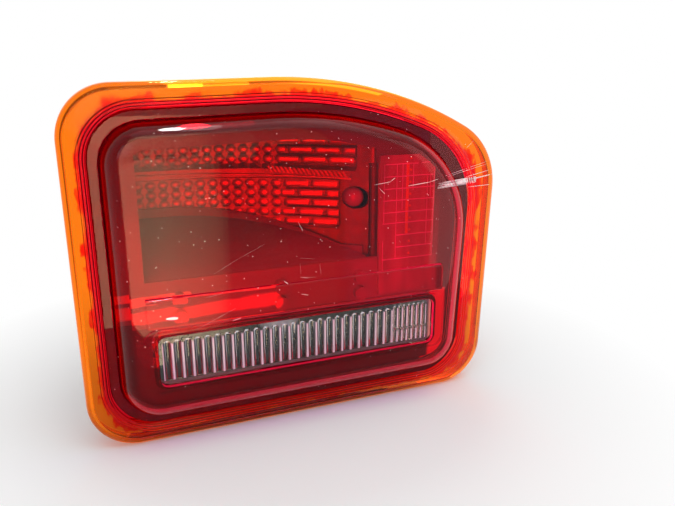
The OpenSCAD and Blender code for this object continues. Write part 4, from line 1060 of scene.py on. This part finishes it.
# lamps in front of the lens that show only in its shine, and overlap for the haze at its left and right
hazeForm = {
    "depth": -0.25, "leftColour": (1.0, 0.74, 0.42), "leftFrom": -0.20,
    # each left one's right edge, low edge, top edge and radiance
    "left": (
        (-0.066, -0.20, 0.30, 12.0), (-0.058, -0.20, 0.30, 10.0), (-0.051, -0.20, 0.30, 9.0),
        (-0.045, -0.20, 0.30, 8.0), (-0.039, -0.20, 0.30, 6.5), (-0.034, -0.20, 0.30, 5.5),
        (-0.030, -0.20, 0.30, 4.0), (-0.026, -0.20, 0.30, 2.0), (0.000, 0.04, 0.30, 2.6),
        (0.030, 0.05, 0.30, 1.4), (0.060, 0.06, 0.30, 1.4), (-0.010, -0.20, -0.010, 0.7),
        (0.000, -0.20, -0.015, 0.7), (0.010, -0.20, -0.022, 0.6), (0.020, -0.20, -0.030, 0.6),
        (0.030, -0.20, -0.040, 0.5), (0.060, -0.20, -0.050, 0.5)),
    # each right one's left edge, right edge, radiance and colour
    "rightMiddle": 0.02, "rightTall": 0.4,
    "right": (
        (0.155, 0.265, 3.0, (1.0, 0.8, 0.76)), (0.068, 0.155, 0.5, (0.7, 0.5, 0.95)),
        (0.078, 0.155, 0.9, (0.7, 0.5, 0.95))),
}
panels = {
    # two more for the shine alone: the highlights on the upper shoulder and on the bar's top
    "topStrip": {
        "place": (-0.032, -0.10, 0.565), "aim": (-0.032, -0.10, 0), "size": (0.034, 0.18), "radiance": 75.0,
        "onlyShine": True, "shape": "ELLIPSE"},
    "barStrip": {
        "place": (0.0065, -0.16, 0.565), "aim": (0.0065, -0.16, 0), "size": (0.049, 0.24), "radiance": 7.0,
        "onlyShine": True},
    # the soft light on the whole
    "frontPanel": {"place": (-0.45, -0.75, 0.35), "aim": (0, -0.095, 0), "size": (0.5, 0.4), "radiance": 3.0},
    "topPanel": {"place": (0.1, -0.35, 0.75), "aim": (0, -0.05, 0), "size": (0.9, 0.7), "radiance": 1.6},
    "rearPanel": {"place": (0.3, 0.8, 0.5), "aim": (0, 0, 0), "size": (0.7, 0.6), "radiance": 1.4},
}


def backgroundShare(tree):
    path = addNode(tree, "LightPath")
    seen = calculate(tree, "ADD", path.outputs["Is Camera Ray"], path.outputs["Is Glossy Ray"])
    return calculate(tree, "ADD", seen, path.outputs["Is Transmission Ray"], clamp=True)


def addFloor():
    f = floorForm
    r, z = f["half"], f["level"]
    mesh = bpy.data.meshes.new("floor")
    mesh.from_pydata([(-r, -r, z), (r, -r, z), (r, r, z), (-r, r, z)], [], [(0, 1, 2, 3)])
    floor = bpy.data.objects.new("floor", mesh)
    bpy.context.scene.collection.objects.link(floor)
    material, tree, _ = newMaterial("paleFloor")
    grain = placeNoise(tree, 3.0)
    tone = ramp(tree, grain.outputs["Fac"], [(0.3, (0.92, 0.92, 0.92)), (0.7, (0.96, 0.96, 0.96))])
    diffuse = addNode(tree, "BsdfDiffuse", Color=tone)
    glow = addNode(tree, "Emission", Color=(1, 1, 1, 1), Strength=1.0)
    where = addNode(tree, "NewGeometry")
    away = addNode(tree, "VectorMath")
    away.operation = "DISTANCE"
    tree.links.new(where.outputs["Position"], away.inputs[0])
    away.inputs[1].default_value = (*f["middle"], z)
    far = addNode(tree, "MapRange", Value=away.outputs["Value"], From_Min=f["glowFrom"], From_Max=f["glowTo"])
    share = calculate(tree, "MULTIPLY", far.outputs["Result"], backgroundShare(tree))
    mixShaders(tree, share, diffuse.outputs["BSDF"], glow.outputs["Emission"])
    mesh.materials.append(material)


def addPanel(name, place, aim, size, radiance, onlyShine=False, colour=(1, 1, 1), shape="RECTANGLE"):
    light = bpy.data.lights.new(name, "AREA")
    light.shape = shape
    light.size, light.size_y = size
    light.energy = radiance * math.pi * size[0] * size[1]
    light.color = colour
    lamp3d = bpy.data.objects.new(name, light)
    lamp3d.location = place
    lamp3d.rotation_euler = (Vector(aim) - Vector(place)).to_track_quat("-Z", "Y").to_euler()
    lamp3d.visible_camera = False
    lamp3d.visible_diffuse = lamp3d.visible_transmission = not onlyShine
    bpy.context.scene.collection.objects.link(lamp3d)


def addHaze():
    f = hazeForm
    for k, (edge, low, high, radiance) in enumerate(f["left"]):
        wide, tall = edge - f["leftFrom"], high - low
        x, z = edge - wide / 2, low + tall / 2
        addPanel("leftCard%d" % k, (x, f["depth"], z), (x, 0.0, z), (wide, tall), radiance,
                 onlyShine=True, colour=f["leftColour"])
    for k, (edge, far, radiance, colour) in enumerate(f["right"]):
        x, z = (edge + far) / 2, f["rightMiddle"]
        addPanel("rightCard%d" % k, (x, f["depth"], z), (x, 0.0, z), (far - edge, f["rightTall"]), radiance,
                 onlyShine=True, colour=colour)


def addWorld():
    world = bpy.data.worlds.new("studio")
    world.use_nodes = True
    bpy.context.scene.world = world
    tree = world.node_tree
    shade = tree.nodes["Background"]
    tone = blendColours(tree, backgroundShare(tree), (worldLook["ambient"],) * 3, (worldLook["seen"],) * 3)
    fill(tree, shade, Color=tone, Strength=1.0)


def addCamera():
    place, back = cameraPlace()
    data = bpy.data.cameras.new("camera")
    data.sensor_width, data.lens = view["sensor"], view["lens"]
    camera = bpy.data.objects.new("camera", data)
    camera.location = place
    camera.rotation_euler = (-back).to_track_quat("-Z", "Y").to_euler()
    bpy.context.scene.collection.objects.link(camera)
    bpy.context.scene.camera = camera


addFloor()
addWorld()
addHaze()
for name, panel in panels.items():
    addPanel(name, **panel)
addCamera()
bpy.context.scene.view_settings.view_transform = "Standard"
print("floor, world, lamps and camera made")
